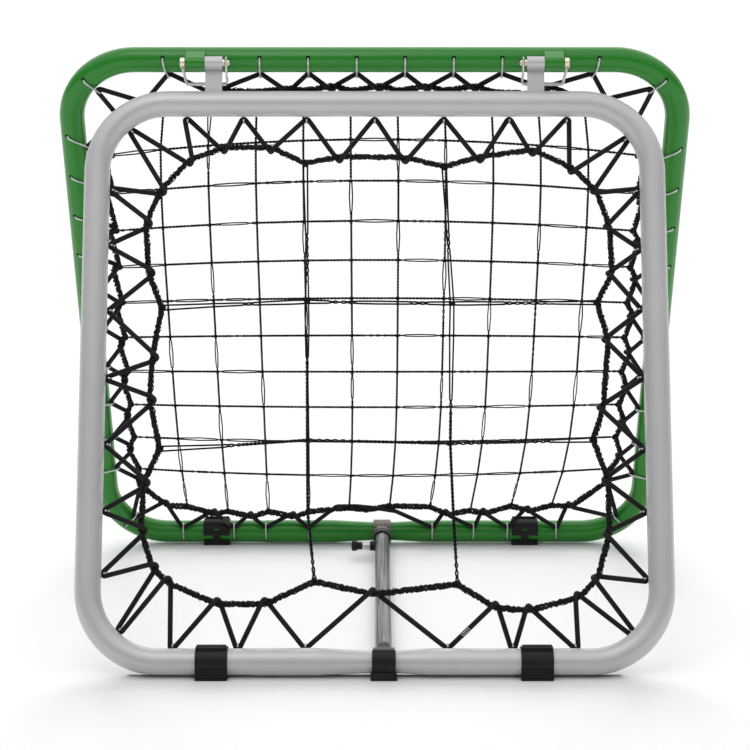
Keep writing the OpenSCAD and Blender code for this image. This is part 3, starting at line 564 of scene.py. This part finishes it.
# %% Sweeping and gathering
class Batch:
    """Swept surfaces on their way to becoming one piece."""

    def __init__(self):
        self.points, self.quads, self.maps, self.count = [], [], [], 0

    def sweep(self, line, radius, sides, closed=False):
        """Adds a round surface along a line; an open one narrows to a point at its ends."""
        line = np.asarray(line, float)
        radius = np.broadcast_to(np.asarray(radius, float), len(line)).copy()
        if not closed:
            tips = [line[0] - unit(line[1] - line[0]) * radius[0] * 0.3,
                    line[-1] + unit(line[-1] - line[-2]) * radius[-1] * 0.3]
            line = np.vstack([tips[:1], line, tips[1:]])
            radius = np.concatenate([[radius[0] * 0.02], radius, [radius[-1] * 0.02]])
        _, side, other = carried(line, closed)
        count = len(line)
        turn = np.arange(sides) / sides
        a = math.tau * turn[None, :, None]
        ring = side[:, None] * np.cos(a) + other[:, None] * np.sin(a)
        self.points.append((line[:, None] + ring * radius[:, None, None]).reshape(-1, 3))
        last = count if closed else count - 1
        i, k = np.meshgrid(np.arange(last), np.arange(sides), indexing="ij")
        j, m = (i + 1) % count, (k + 1) % sides
        quads = np.stack([i * sides + k, j * sides + k, j * sides + m, i * sides + m], axis=-1)
        self.quads.append(quads.reshape(-1, 4) + self.count)
        steps = np.linalg.norm(np.roll(line, -1, axis=0) - line, axis=1)
        gone = np.concatenate([[0], np.cumsum(steps)])
        u0, u1, v0, v1 = gone[i], gone[i + 1], k / sides, (k + 1) / sides
        maps = np.stack([u0, v0, u1, v0, u1, v1, u0, v1], axis=-1)
        self.maps.append(maps.reshape(-1, 2))
        self.count += count * sides
        return self

    def piece(self, name, body, finish, stands_for=()):
        """Makes the mesh, paints it and hangs it on a body."""
        mesh = bpy.data.meshes.new(name)
        mesh.from_pydata(np.concatenate(self.points).tolist(), [], np.concatenate(self.quads).tolist())
        mesh.uv_layers.new(name="cord").data.foreach_set("uv", np.concatenate(self.maps).ravel())
        mesh.shade_smooth()
        mesh.materials.append(finish.material)
        made = bpy.data.objects.new(name, mesh)
        bpy.context.scene.collection.objects.link(made)
        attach(made, body)
        if stands_for:
            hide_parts(*stands_for)
        print(f"{name}: {len(mesh.vertices)} points")
        return made


# %% [markdown]
# ## Where the cords go
# The elastic cord lies in each hook's bend, then passes round the inner edge of the border rope
# and comes back to the next hook. The rope is pulled out there, and pulled in where the net's
# lines are tied to it. On the front hoop these places are set one by one. On the rear one they
# follow from the hooks and the net, apart from the turns along the bottom, which are set one by one,
# and a few near the corners, which are moved.

# %% Seats and wraps
bungee_r, rope_r, wire_r = 3.2, 3.3, 1.25
stretched_r = 2.9
swage_step = 0.4
hook_end_r = bungee_r + wire_r + 0.15
seat_r = tube_r + swage_step + bungee_r + 0.1


def inward(turn):
    a = math.radians(turn)
    return np.array([math.sin(a), math.cos(a)])


def ahead_of(turn):
    """The way clockwise along the tube."""
    a = math.radians(turn)
    return np.array([-math.cos(a), math.sin(a)])


def in_plane(station, slanted=True):
    """Where a hook holds the cord, in the hoop's plane: across and up."""
    x, z, turn, seat, slant = station
    place = np.array([x, z]) + seat_r * math.cos(math.radians(seat)) * inward(turn)
    return place + slant * ahead_of(turn) * slanted


front_knots = [
    (-213, 67, 0), (-173, 52, 0), (-119, 52, 0), (-80, 71, 1), (-40, 63, 0), (36, 64, 0),
    (80, 75, 1), (122, 63, 0), (183, 55, 0), (228, 77, 0), (255, 104, 0), (269, 146, 0),
    (271, 201, 0), (253, 235, 1), (265, 278, 0), (258, 356, 0), (246, 393, 1), (262, 438, 0),
    (262, 499, 0), (248, 549, 0), (226, 570, 0), (171, 584, 0), (134, 581, 0), (92, 555, 1),
    (-2, 566, 0), (-67, 552, 1), (-122, 577, 0), (-175, 577, 0), (-231, 553, 0), (-248, 536, 0),
    (-261, 495, 0), (-259, 441, 0), (-242, 403, 1), (-254, 347, 0), (-252, 298, 0),
    (-242, 241, 1), (-258, 200, 0), (-262, 142, 0), (-246, 103, 0),
]
front.rope = [np.array([x, -depth]) for x, depth, tied in front_knots]
front.wraps = [np.array([x, -depth]) for x, depth, tied in front_knots if not tied]
front.ties = [np.array([x, -depth]) for x, depth, tied in front_knots if tied]

# %% [markdown]
# The rear net is a lattice whose lines bow towards the rope, because the lacing pulls the middle
# of each side harder than its ends.

# %% The rear net's lines
rear_lines = 10
net_half, net_middle, net_side = 315, -357, 319
lace_top, lace_side = 16, 16.5
low_wraps = [(265, 677), (209, 685), (149, 689), (98, 691), (-12, 683), (-109, 695), (-167, 695),
             (-216, 690), (-282, 675)]
low_wrap, strut_wrap = 20, 24
# Turns that stand off the halfway point. The solids have the two beside the bottom run, and not the
# six round the top corners.
tucked = {
    39: (8, -5), 0: (9, -9), 1: (3, -6), 2: (6, -3), 8: (-9, -9), 9: (-7, -5),
    low_wrap - 1: (-5, 14), low_wrap + len(low_wraps): (1.5, 3),
}


def lace_depth(turn):
    return lace_top if abs(turn) > 120 else lace_side


def rear_wrap(i):
    """Where the elastic crosses the rope: halfway between two hooks, or as listed along the bottom."""
    if 0 <= i - low_wrap < len(low_wraps):
        x, depth = low_wraps[i - low_wrap]
        return np.array([x, -depth])
    a, b = rear.stations[i], rear.stations[(i + 1) % len(rear.stations)]
    pull = unit(inward(a[2]) + inward(b[2]))
    out = tucked.get(i, (0, 0))
    middle = (in_plane(a, False) + in_plane(b, False)) / 2
    return middle + pull * (lace_depth(a[2]) + lace_depth(b[2])) / 2 + out


rear.wraps = [rear_wrap(i) for i in range(len(rear.stations))]


def upright_x(k, z):
    end, middle = -249 + 55.1 * k if z > net_middle else -254 + 54.8 * k, -261.5 + 58.1 * k
    return end + (middle - end) * (1 - ((z - net_middle) / net_half) ** 4)


def level_z(k, x):
    end, middle = -(129 + 53.6 * k), -(107 + 57.4 * k)
    return end + (middle - end) * (1 - (x / net_side) ** 2)


def crossing(column, row):
    z = level_z(row, upright_x(column, level_z(row, 0)))
    return np.array([upright_x(column, z), z])


def top_tie(k):
    x = upright_x(k, -45)
    return np.array([x, -41 - 14 * (x / 250) ** 4])


bottom_tie_depths = [677, 685.5, 685.5, 686, 679, 676, 677.5, 684, 676, 675]


def bottom_tie(k):
    return np.array([upright_x(k, -672), -bottom_tie_depths[k]])


def side_tie(k, side):
    z = level_z(k, net_side)
    return np.array([side * (net_side - 14 * ((z - net_middle) / net_half) ** 6), z])


rear_uprights = [
    [top_tie(k), *(crossing(k, j) for j in range(rear_lines)), bottom_tie(k)] for k in range(rear_lines)
]
rear_levels = [
    [side_tie(k, -1), *(crossing(j, k) for j in range(rear_lines)), side_tie(k, 1)]
    for k in range(rear_lines)
]
rear.ties = [line[end] for line in rear_uprights + rear_levels for end in (0, -1)]
rear.rope = sorted(rear.wraps + rear.ties, key=lambda p: math.atan2(p[0], p[1] - net_middle))
print("rope corners:", len(front.rope), len(rear.rope))

# %% [markdown]
# ## The elastic cords
# Each cord is a tube with a woven finish. Its bends are true arcs round the hook's wire and round
# the rope, which it pinches. It is stretched, so it is a little thinner than the cord at rest.

# %% The elastic cords
wrap_r, turn_r, rope_turn_r = 2.2 + stretched_r, 3.3, 4.8
lace_spread, strut_spread = 3, 40


def hook_corner(hoop, station, toward, side):
    """The corner of the cord on one side of a hook's wire, which it leaves towards a point."""
    ahead, inwards = ahead_of(station[2]), inward(station[2])
    rel = toward - in_plane(station)
    turn = math.atan2(float(rel @ inwards), -side * float(rel @ ahead))
    flat = in_plane(station) - side * turn_r * math.tan(turn / 2) * ahead
    return np.array([flat[0], seat_r * math.sin(math.radians(station[3])), flat[1]])


def rope_corners(before, after, wrap, spread):
    """Four corners of the cord, from the inner side of the rope round to its outer side."""
    along = unit(after - before)
    edge, corners = np.array([along[1], -along[0]]), []
    for degrees in (-67.5, -22.5, 22.5, 67.5):
        a = math.radians(degrees)
        reach = wrap_r / math.cos(math.radians(22.5))
        flat = wrap + along * spread * degrees / 67.5 + edge * reach * math.cos(a)
        corners.append(np.array([flat[0], -reach * math.sin(a), flat[1]]))
    return corners


def bungee_corners(hoop):
    corners, count = [], len(hoop.stations)
    for i, station in enumerate(hoop.stations):
        wrap, following = hoop.wraps[i], hoop.stations[(i + 1) % count]
        arrive = hook_corner(hoop, station, hoop.wraps[i - 1], 1)
        leave = hook_corner(hoop, station, wrap, -1)
        ahead = hook_corner(hoop, following, wrap, 1)
        spread = strut_spread if hoop is rear and i == strut_wrap else lace_spread
        corners += [arrive, leave, *rope_corners(leave[[0, 2]], ahead[[0, 2]], wrap, spread)]
    return corners


def lay(hoop, corners, radius, closed):
    """A rounded line of a hoop's frame, as metres in the stance."""
    return np.array([hoop.at(*p) for p in rounded(corners, radius, closed)])


for hoop, name in ((front, "front_bungee"), (rear, "rear_bungee")):
    hoop.bungee = bungee_corners(hoop)
    bends = [turn_r + 0.1] * 2 + [rope_turn_r] * 4
    route = lay(hoop, hoop.bungee, bends * len(hoop.stations), True)
    Batch().sweep(route, stretched_r * MM, 14, closed=True).piece(
        f"{hoop.body}_elastic_cord", hoop.body, sleeve, [name]
    )

# %% [markdown]
# ## The hooks
# A hook is one piece of drawn wire. It comes out of a hole in the tube, turns down over the tube,
# leaves it on a straight line and ends in an open loop that holds the cord. Where the cord pulls
# it aside, the whole wire leans evenly. A swept wire shows this better than the CAD's short
# pieces, so the hooks are drawn again. A hole looks black, because no light comes out of the tube,
# so each one gets a shallow black disc of painted shade, which is not a part of the frame.

# %% The hooks
hook_wire = 1.15
hook_r = tube_r + swage_step + wire_r + 0.1
hook_bend, hook_stub, hook_end = 1.5, 3.0, -75
hole_set, hole_r = 2.5, 2.5


def hole_angle(hoop, turn):
    """Where the hook comes out of the tube, round the tube from inwards."""
    if hoop is rear and abs(turn) < 50:
        return 87
    return 116 if hoop is rear and turn == 180 else 104


def arc(centre, radius, start, end, step=8):
    """Points of an arc in a hook's own plane: inwards, and towards the other hoop."""
    a = np.radians(np.linspace(start, end, max(2, math.ceil(abs(end - start) / step))))
    return np.array(centre) + radius * np.stack([np.cos(a), np.sin(a)], axis=1)


def hook_line(hoop, station):
    x, z, turn, seat, slant = station
    hole = hole_angle(hoop, turn)
    out = np.array([math.cos(math.radians(hole)), math.sin(math.radians(hole))])
    past = np.array([-out[1], out[0]])
    bend = (hook_r - hook_bend) * out
    leave = math.degrees(math.acos((hook_r - hook_end_r) / seat_r)) + seat
    cord = seat_r * np.array([math.cos(math.radians(seat)), math.sin(math.radians(seat))])
    flat = np.vstack([
        (bend + hook_bend * past - hook_stub * out)[None],
        arc(bend, hook_bend, hole + 90, hole, 15),
        arc((0, 0), hook_r, hole, leave)[1:],
        arc(cord, hook_end_r, leave, hook_end, 12),
    ])
    gone = np.concatenate([[0], np.cumsum(np.linalg.norm(np.diff(flat, axis=0), axis=1))])
    seated = gone[-len(arc(cord, hook_end_r, leave, hook_end, 12))] + hook_end_r
    lean = slant * np.clip((gone - hook_stub) / (seated - hook_stub), 0, 1)
    line = []
    for (inwards, inside), ahead in zip(flat, lean):
        place = np.array([x, z]) + inwards * inward(turn) + ahead * ahead_of(turn)
        line.append(hoop.at(place[0], inside, place[1]))
    return line


def hole_shade_line(hoop, station):
    """The line of a painted shade disc, from inside the hole to just below the tube's surface."""
    x, z, turn, seat, slant = station
    skew = math.asin(hole_set / (hook_r - hole_set))
    a = math.radians(hole_angle(hoop, turn)) + skew
    line = []
    for radius in (tube_r - 0.95, tube_r - 0.5, tube_r - 0.3):
        place = np.array([x, z]) + radius * math.cos(a) * inward(turn)
        line.append(hoop.at(place[0], radius * math.sin(a), place[1]))
    return line


for hoop, name in ((front, "front_hook_wires"), (rear, "rear_hook_wires")):
    wires, holes = Batch(), Batch()
    for station in hoop.stations:
        wires.sweep(hook_line(hoop, station), hook_wire * MM, 10)
        # Each hole gets a black disc: painted shade in place of the dark inside of the tube.
        holes.sweep(hole_shade_line(hoop, station), np.array([0.4, hole_r, 0.4]) * MM, 16)
    wires.piece(name, hoop.body, steel, [name.replace("hook_wires", "hooks")])
    holes.piece(name.replace("hook_wires", "painted_hole_shades"), hoop.body, plastic)

# %% [markdown]
# ## The crimps
# Each elastic cord is one loop. Its two ends meet in a short winding of wire, which is drawn as a
# coil of a few turns that bites into the sleeve.

# %% The crimps
def crimp(name, hoop, corner, share, finish):
    """A coil of wire round a straight stretch of the cord."""
    start, end = (np.array(hoop.at(*hoop.bungee[corner + k])) for k in (0, 1))
    along = unit(end - start)
    side = unit(np.cross(along, [0.3, 0.9, 0.1]))
    other = np.cross(along, side)
    a = np.linspace(0, math.tau * 5, 90)
    travel = np.linspace(-6.2, 6.2, 90) * MM
    ring = (stretched_r + 0.25) * MM * (np.cos(a)[:, None] * side + np.sin(a)[:, None] * other)
    line = start + (end - start) * share + travel[:, None] * along + ring
    Batch().sweep(line, 0.5 * MM, 8).piece(name, hoop.body, finish, [name.replace("coil", "crimp")])


crimp("front_bungee_coil", front, 18 * 6 + 5, 0.62, steel)
crimp("rear_bungee_coil", rear, 27 * 6 + 1, 0.5, dull_steel)

# %% [markdown]
# ## The border ropes
# A border rope isn't smooth: it is netting yarn gathered and chained into a thick, uneven cord
# with small holes and a ragged edge. Two thick yarns swing against each other and cross again and
# again, which leaves the holes. A third wanders between them and closes some, and thin loose yarns
# round them make the ragged edge.

# %% The border ropes
# Pitch of the chained strands, radius of a loose yarn and how far it stands off the strands
plait_pitch = 10.5
loose_yarn_r, loose_reach = 0.55, 0.9
# How far a wrap draws the rope together, and over what length to each side
pinch, pinch_l = 0.35, 6 * MM
# Radius of a strand, and how uneven the strands' swing is, as shares
strand_share, uneven = 0.52, 0.36


def wander(s, *waves):
    """A smooth uneven value along a line: a sum of waves, each a length in metres and a start."""
    return sum(np.sin(math.tau * s / length + start) for length, start in waves) / len(waves)


def border_rope(hoop, name, width, thickness):
    centre, length = evenly(lay(hoop, [(p[0], 0, p[1]) for p in hoop.rope], 9, True), 0.9 * MM, True)
    _, side, other = carried(centre, True)
    count = len(centre)
    s = np.arange(count) * length / count
    turns = round(length / (plait_pitch * MM))
    batch = Batch()
    loose = 1 + uneven * wander(s, (length / 31, 0.3), (length / 17, 2.0), (length / 53, 4.1))
    held = np.array([hoop.at(p[0], 0, p[1]) for p in hoop.wraps])
    near = np.linalg.norm(centre[:, None] - held[None], axis=2).min(axis=1)
    loose *= 1 - pinch * np.exp(-((near / pinch_l) ** 2))
    for strand in range(3):
        a = math.tau * (turns * s / length + strand / 2)
        swing, lift = width * loose * np.cos(a), thickness * np.sin(a)
        if strand == 2:
            a = math.tau * round(turns * 0.37) * s / length
            swing, lift = 0.8 * width * loose * np.sin(a), 0.4 * thickness * np.cos(a)
        swing, lift = swing[:, None] * side, lift[:, None] * other
        fat = strand_share * width + 0.24 * wander(s, (length / 97, strand), (length / 41, 2 * strand))
        batch.sweep(centre + (swing + lift) * MM, fat * MM, 7, closed=True)
    for strand in range(3):
        a = math.tau * (round(turns * (1.37 - 0.5 * strand)) * s / length + strand / 3)
        reach = width + loose_reach + 0.6 * wander(s, (length / 71, strand), (length / 29, 3.0 + strand))
        ring = (reach * np.cos(a))[:, None] * side + (reach * 0.8 * np.sin(a))[:, None] * other
        batch.sweep(centre + ring * MM, loose_yarn_r * MM, 5, closed=True)
    batch.piece(name, hoop.body, yarn, [name.replace("plait", "rope")])
    return centre, side, other


front.rope_line = border_rope(front, "front_border_plait", 3.1, 1.6)
rear.rope_line = border_rope(rear, "rear_border_plait", 3.3, 1.6)

# %% [markdown]
# ## The nets
# The front net has four lines, and each is two yarns side by side. The rear net has ten lines
# each way, of two thin yarns that mostly touch and here and there spread apart. Where lines
# cross, one is wrapped round the other, and each line ends in a few turns round the rope.

# %% Lines of two yarns
def paired_line(batch, hoop, corners, radius, gaps, inside, pitch, step):
    """Two yarns along a line. The gaps give their distance at even steps from end to end, and the
    yarns are twisted together where they touch."""
    path = rounded([(p[0], inside, p[1]) for p in corners], 12, False)
    path, length = evenly(path, step, False)
    s = np.linspace(0, 1, len(path))
    half = np.interp(s, np.linspace(0, 1, len(gaps)), gaps) / 2
    step = np.gradient(path, axis=0)
    across = np.stack([-step[:, 2], 0 * s, step[:, 0]], axis=1)
    across /= np.linalg.norm(across, axis=1, keepdims=True)
    twist = np.clip((1.35 * radius - half) / (0.3 * radius), 0, 1)
    turned = math.tau * s * length / pitch
    sideways = half * (1 - twist + twist * np.cos(turned))
    rise = half * twist * np.sin(turned)
    for hand in (-1, 1):
        line = path + hand * (across * sideways[:, None] + np.outer(rise, (0, 1, 0)))
        batch.sweep([hoop.at(*p) for p in line], radius * MM, 6)


def wrapped(batch, hoop, place, along, inner_r, yarn_r, turns, inside=0.0):
    """A few turns of yarn round a line or a rope, at a place of the hoop's plane."""
    along3 = unit(np.array([along[0], 0, along[1]]))
    across3, depth3 = np.array([-along3[2], 0, along3[0]]), np.array([0.0, 1, 0])
    steps = int(turns * 10) + 1
    a = np.linspace(0, math.tau * turns, steps)
    travel = (np.linspace(-0.5, 0.5, steps) * turns * 2 * yarn_r)[:, None]
    r = inner_r + yarn_r
    centre = np.array([place[0], inside, place[1]])
    line = centre + travel * along3 + r * (np.cos(a)[:, None] * across3 + np.sin(a)[:, None] * depth3)
    batch.sweep([hoop.at(*p) for p in line], yarn_r * MM, 6)


def rope_direction(hoop, place):
    """Which way the border rope runs at its corner nearest to a place."""
    i = min(range(len(hoop.rope)), key=lambda k: np.linalg.norm(hoop.rope[k] - place))
    return unit(hoop.rope[(i + 1) % len(hoop.rope)] - hoop.rope[i - 1])


# %% The front net
front_lines = [
    [(-80, 71), (-77, 189), (-77, 234), (-76, 393), (-75, 475), (-67, 552)],
    [(80, 75), (83, 141), (88, 236), (85, 397), (88, 478), (92, 555)],
    [(-242, 241), (-182, 238), (-77, 234), (88, 236), (253, 235)],
    [(-242, 403), (-173, 400), (-76, 393), (85, 397), (171, 395), (246, 393)],
]
front_lines = [[np.array([x, -depth]) for x, depth in line] for line in front_lines]
front_gaps = [
    (5.0, 3.6, 2.3, 2.8, 4.2, 2.1, 2.3, 2.0, 2.1, 2.0, 2.8),
    (5.0, 3.0, 2.6, 3.8, 4.6, 3.4, 2.3, 2.0, 2.0, 2.1, 2.8),
    (5.6, 3.8, 2.6, 4.4, 2.4, 3.2, 2.6, 4.0, 2.6, 2.8, 4.6),
    (5.6, 3.6, 2.1, 2.0, 2.6, 2.1, 2.0, 2.6, 2.1, 2.6, 4.6),
]
net = Batch()
for number, (line, gaps) in enumerate(zip(front_lines, front_gaps)):
    upright = number < 2
    paired_line(net, front, line, 1.05, gaps, 0.5 if upright else -0.5, 9, 1.2)
    for end in (0, -1):
        wrapped(net, front, line[end], rope_direction(front, line[end]), rope_r - 0.4, 1.0, 3)
    for cross in (line[2], line[3]) if not upright else ():
        wrapped(net, front, cross, (0, 1), 2.0, 1.0, 1.6)
net.piece("front_net_yarns", front.body, twine, ["front_net"])

# %% The rear net
def spread(line_number, span):
    """How far a line's two yarns part in one span: mostly touching, sometimes well apart."""
    mix = math.sin(12.9898 * line_number + 78.233 * span) * 43758.5453
    return 1.7 + max(0.0, (mix - math.floor(mix)) - 0.62) * 7.0


def rear_gaps(number, crossings):
    gaps = [2.2]
    for span in range(crossings + 1):
        gaps += [spread(number, span), 1.7]
    return gaps


net = Batch()
for number, line in enumerate(rear_uprights + rear_levels):
    upright = number < rear_lines
    paired_line(net, rear, line, 0.88, rear_gaps(number, rear_lines), 0.35 if upright else -0.35, 9, 1.6)
    for end in (0, -1):
        wrapped(net, rear, line[end], rope_direction(rear, line[end]), rope_r - 0.5, 0.75, 2.6)
for column in range(rear_lines):
    for row in range(rear_lines):
        wrapped(net, rear, crossing(column, row), (0.25, 1), 1.2, 0.7, 1.6)
net.piece("rear_net_yarns", rear.body, twine, ["rear_net"])

# %% [markdown]
# ## The bails
# A bail is spring wire bent into a loop. It is hooked in the pin's head and snaps over the pin's
# rounded tip, so that the pin can't slide out. Its solid has only six sides, so it is drawn again
# with a round wire.

# %% The bails
bail_r, bail_lean, bail_drop, bail_half, bail_over = 1.1, math.radians(10.5), 25, 4.2, 6.2
head_mid, groove_x = (219.6 + 225.8) / 2, 172.2
bail_leg = [
    (head_mid, -3.6, -2.4), (head_mid, -3.6, -7), (head_mid - 1, -3.6, -11),
    (head_mid - 4, -bail_half, -bail_drop), (groove_x - 1.5, -bail_half, -bail_drop),
    (groove_x, -bail_half, -bail_drop + 9), (groove_x, -bail_half, bail_over), (groove_x, 0, bail_over),
]
bail_line = bail_leg + [(x, -y, z) for x, y, z in reversed(bail_leg[:-1])]
for hand, name in ((-1, "left"), (1, "right")):
    wire = []
    for x, y, z in rounded(bail_line, 3.4, False, arc_step=10):
        back = y * math.cos(bail_lean) - z * math.sin(bail_lean)
        rise = y * math.sin(bail_lean) + z * math.cos(bail_lean)
        wire.append(np.array([hand * x, hinge_y + back, hinge_z + rise]) * MM)
    batch = Batch().sweep(wire, bail_r * MM, 12)
    batch.piece(f"bail_wire_{name}", f"pin_{name}", steel, [f"pin_bail_{name}"])

# %% [markdown]
# ## The pad under the strut
# The pad at the strut's front end is moulded, so none of its edges is sharp. A copy of its solid is
# cleaned of the flat triangles' edges, and a Bevel modifier rounds what is left.

# %% The pad under the strut
def softened(node, name, body, finish, width):
    """A copy of a moulded solid with its sharp edges rounded."""
    shape = bmesh.new()
    shape.from_mesh(frame["nodes"][node].data)
    bmesh.ops.remove_doubles(shape, verts=shape.verts, dist=0.01 * MM)
    bmesh.ops.dissolve_limit(
        shape, angle_limit=math.radians(1), verts=shape.verts, edges=shape.edges
    )
    mesh = bpy.data.meshes.new(name)
    shape.to_mesh(mesh)
    shape.free()
    mesh.shade_smooth()
    mesh.materials.clear()
    mesh.materials.append(finish.material)
    made = bpy.data.objects.new(name, mesh)
    bpy.context.scene.collection.objects.link(made)
    edges = made.modifiers.new("rounded edges", "BEVEL")
    edges.width, edges.segments = width, 4
    edges.limit_method, edges.angle_limit = "ANGLE", math.radians(32)
    edges.harden_normals = True
    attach(made, body)
    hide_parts(node)
    print(name, "faces before rounding:", len(mesh.polygons))


softened("front_strap_pad", "strut_pad_moulding", "strut_outer", plastic, 1.4 * MM)

# %% [markdown]
# ## Welds
# The strap stands on the front tube and the barrel's plate lies on the rear tube, each held by a
# weld along both of its edges. A weld is a bead of overlapping ripples, painted with the tube.

# %% Welds
def weld(name, hoop, finish, from_x, to_x, edges):
    for hand, side in ((-1, "left"), (1, "right")):
        beads = Batch()
        for inside, up, bead_r in edges:
            x = np.linspace(from_x, to_x, 60)
            line = [hoop.at(hand * v, inside, up) for v in x]
            beads.sweep(line, (bead_r + 0.13 * np.sin(x * math.tau / 1.7)) * MM, 10)
        beads.piece(f"{name}_{side}", hoop.body, finish)


strap_in, strap_out, barrel_in, barrel_out = 177.5, 196.0, 197.6, 218.6
weld("strap_weld", front, silver, strap_in, strap_out, [(-0.3, tube_r + 0.2, 1.3), (3.4, 14.4, 1.4)])
weld("plate_weld", rear, green, barrel_in, barrel_out, [(4.2, 14.0, 1.0), (9.4, 11.3, 1.3)])

# %% [markdown]
# ## Floor and light
# The rebounder stands on a white floor that runs on past the picture, in front of a white
# background. One broad light is overhead and another is behind it, from low to half way up, with a
# soft sun in it. So the tubes' edges shine, their fronts stay grey and soft shadows fall forwards.
# Little comes from the camera's side, where only a small lamp hangs high up. A low flag that the
# camera doesn't see stands behind the front hoop's bottom run, as in a studio, and keeps the light
# from leaking through between that tube and the floor. The rear hoop has none, because it lifts off
# the floor as the joints move and would leave it behind.

# %% Floor and light
floor_finish = Finish("white floor", None, (0.82, 0.82, 0.82), 0.9, specular_ior_level=0.1)
reach = 500.0
floor_mesh = bpy.data.meshes.new("floor")
floor_mesh.from_pydata(
    [(-reach, -reach, 0), (reach, -reach, 0), (reach, reach, 0), (-reach, reach, 0)], [], [(0, 1, 2, 3)]
)
floor_mesh.materials.append(floor_finish.material)
floor = bpy.data.objects.new("floor", floor_mesh)
bpy.context.scene.collection.objects.link(floor)

flag_h, flag_behind, flag_short = 12 * MM, 5 * MM, 60
rim = front.at(0, 0, 2 * tube_r - front.height)[1] + flag_behind
across = (front.width / 2 - flag_short) * MM
flag_mesh = bpy.data.meshes.new("flag")
flag_mesh.from_pydata(
    [(-across, rim, 0), (across, rim, 0), (across, rim, flag_h), (-across, rim, flag_h)], [],
    [(0, 1, 2, 3)],
)
flag_mesh.materials.append(plastic.material)
flag = bpy.data.objects.new("front_frame_flag", flag_mesh)
flag.visible_camera = False
bpy.context.scene.collection.objects.link(flag)

world = bpy.data.worlds.new("studio")
world.use_nodes = True
sky = world.node_tree


def sky_value(kind, output=0):
    return Value(sky, sky.nodes.new(kind).outputs[output])


split = sky.nodes.new("ShaderNodeSeparateXYZ")
plug(sky, sky_value("ShaderNodeTexCoord"), split.inputs[0])
away, up = Value(sky, split.outputs[1]), Value(sky, split.outputs[2])
seen = sky_value("ShaderNodeLightPath")
behind = away.step(0.05, 0.85) * (1 - up.step(0.5, 0.95))
all_round, from_behind, overhead, backdrop = 0.14, 0.75, 1.0, 1.15
light = all_round + behind * from_behind + up.step(0.2, 0.85) * overhead
plug(sky, seen * backdrop + (1 - seen) * light, sky.nodes["Background"].inputs["Strength"])
sky.nodes["Background"].inputs["Color"].default_value = (1, 1, 1, 1)
bpy.context.scene.world = world


def lamp(name, kind, place, aim, power, size):
    light = bpy.data.lights.new(name, kind)
    light.energy = power
    if kind == "SUN":
        light.angle = size
    else:
        light.size = size
    made = bpy.data.objects.new(name, light)
    made.location = place
    way = np.array(aim) - np.array(place)
    made.rotation_euler = (
        math.atan2(math.hypot(way[0], way[1]), -way[2]), 0, math.atan2(way[1], way[0]) - math.pi / 2
    )
    made.visible_glossy = kind != "SUN"
    bpy.context.scene.collection.objects.link(made)


lamp("back light", "SUN", (0, 1.0, 0.7), (0, 0, 0), 1.8, math.radians(40))
lamp("key", "AREA", (-0.5, -1.3, 3.0), (0, 0, 0.35), 8, 1.2)
print("lamps: 2")
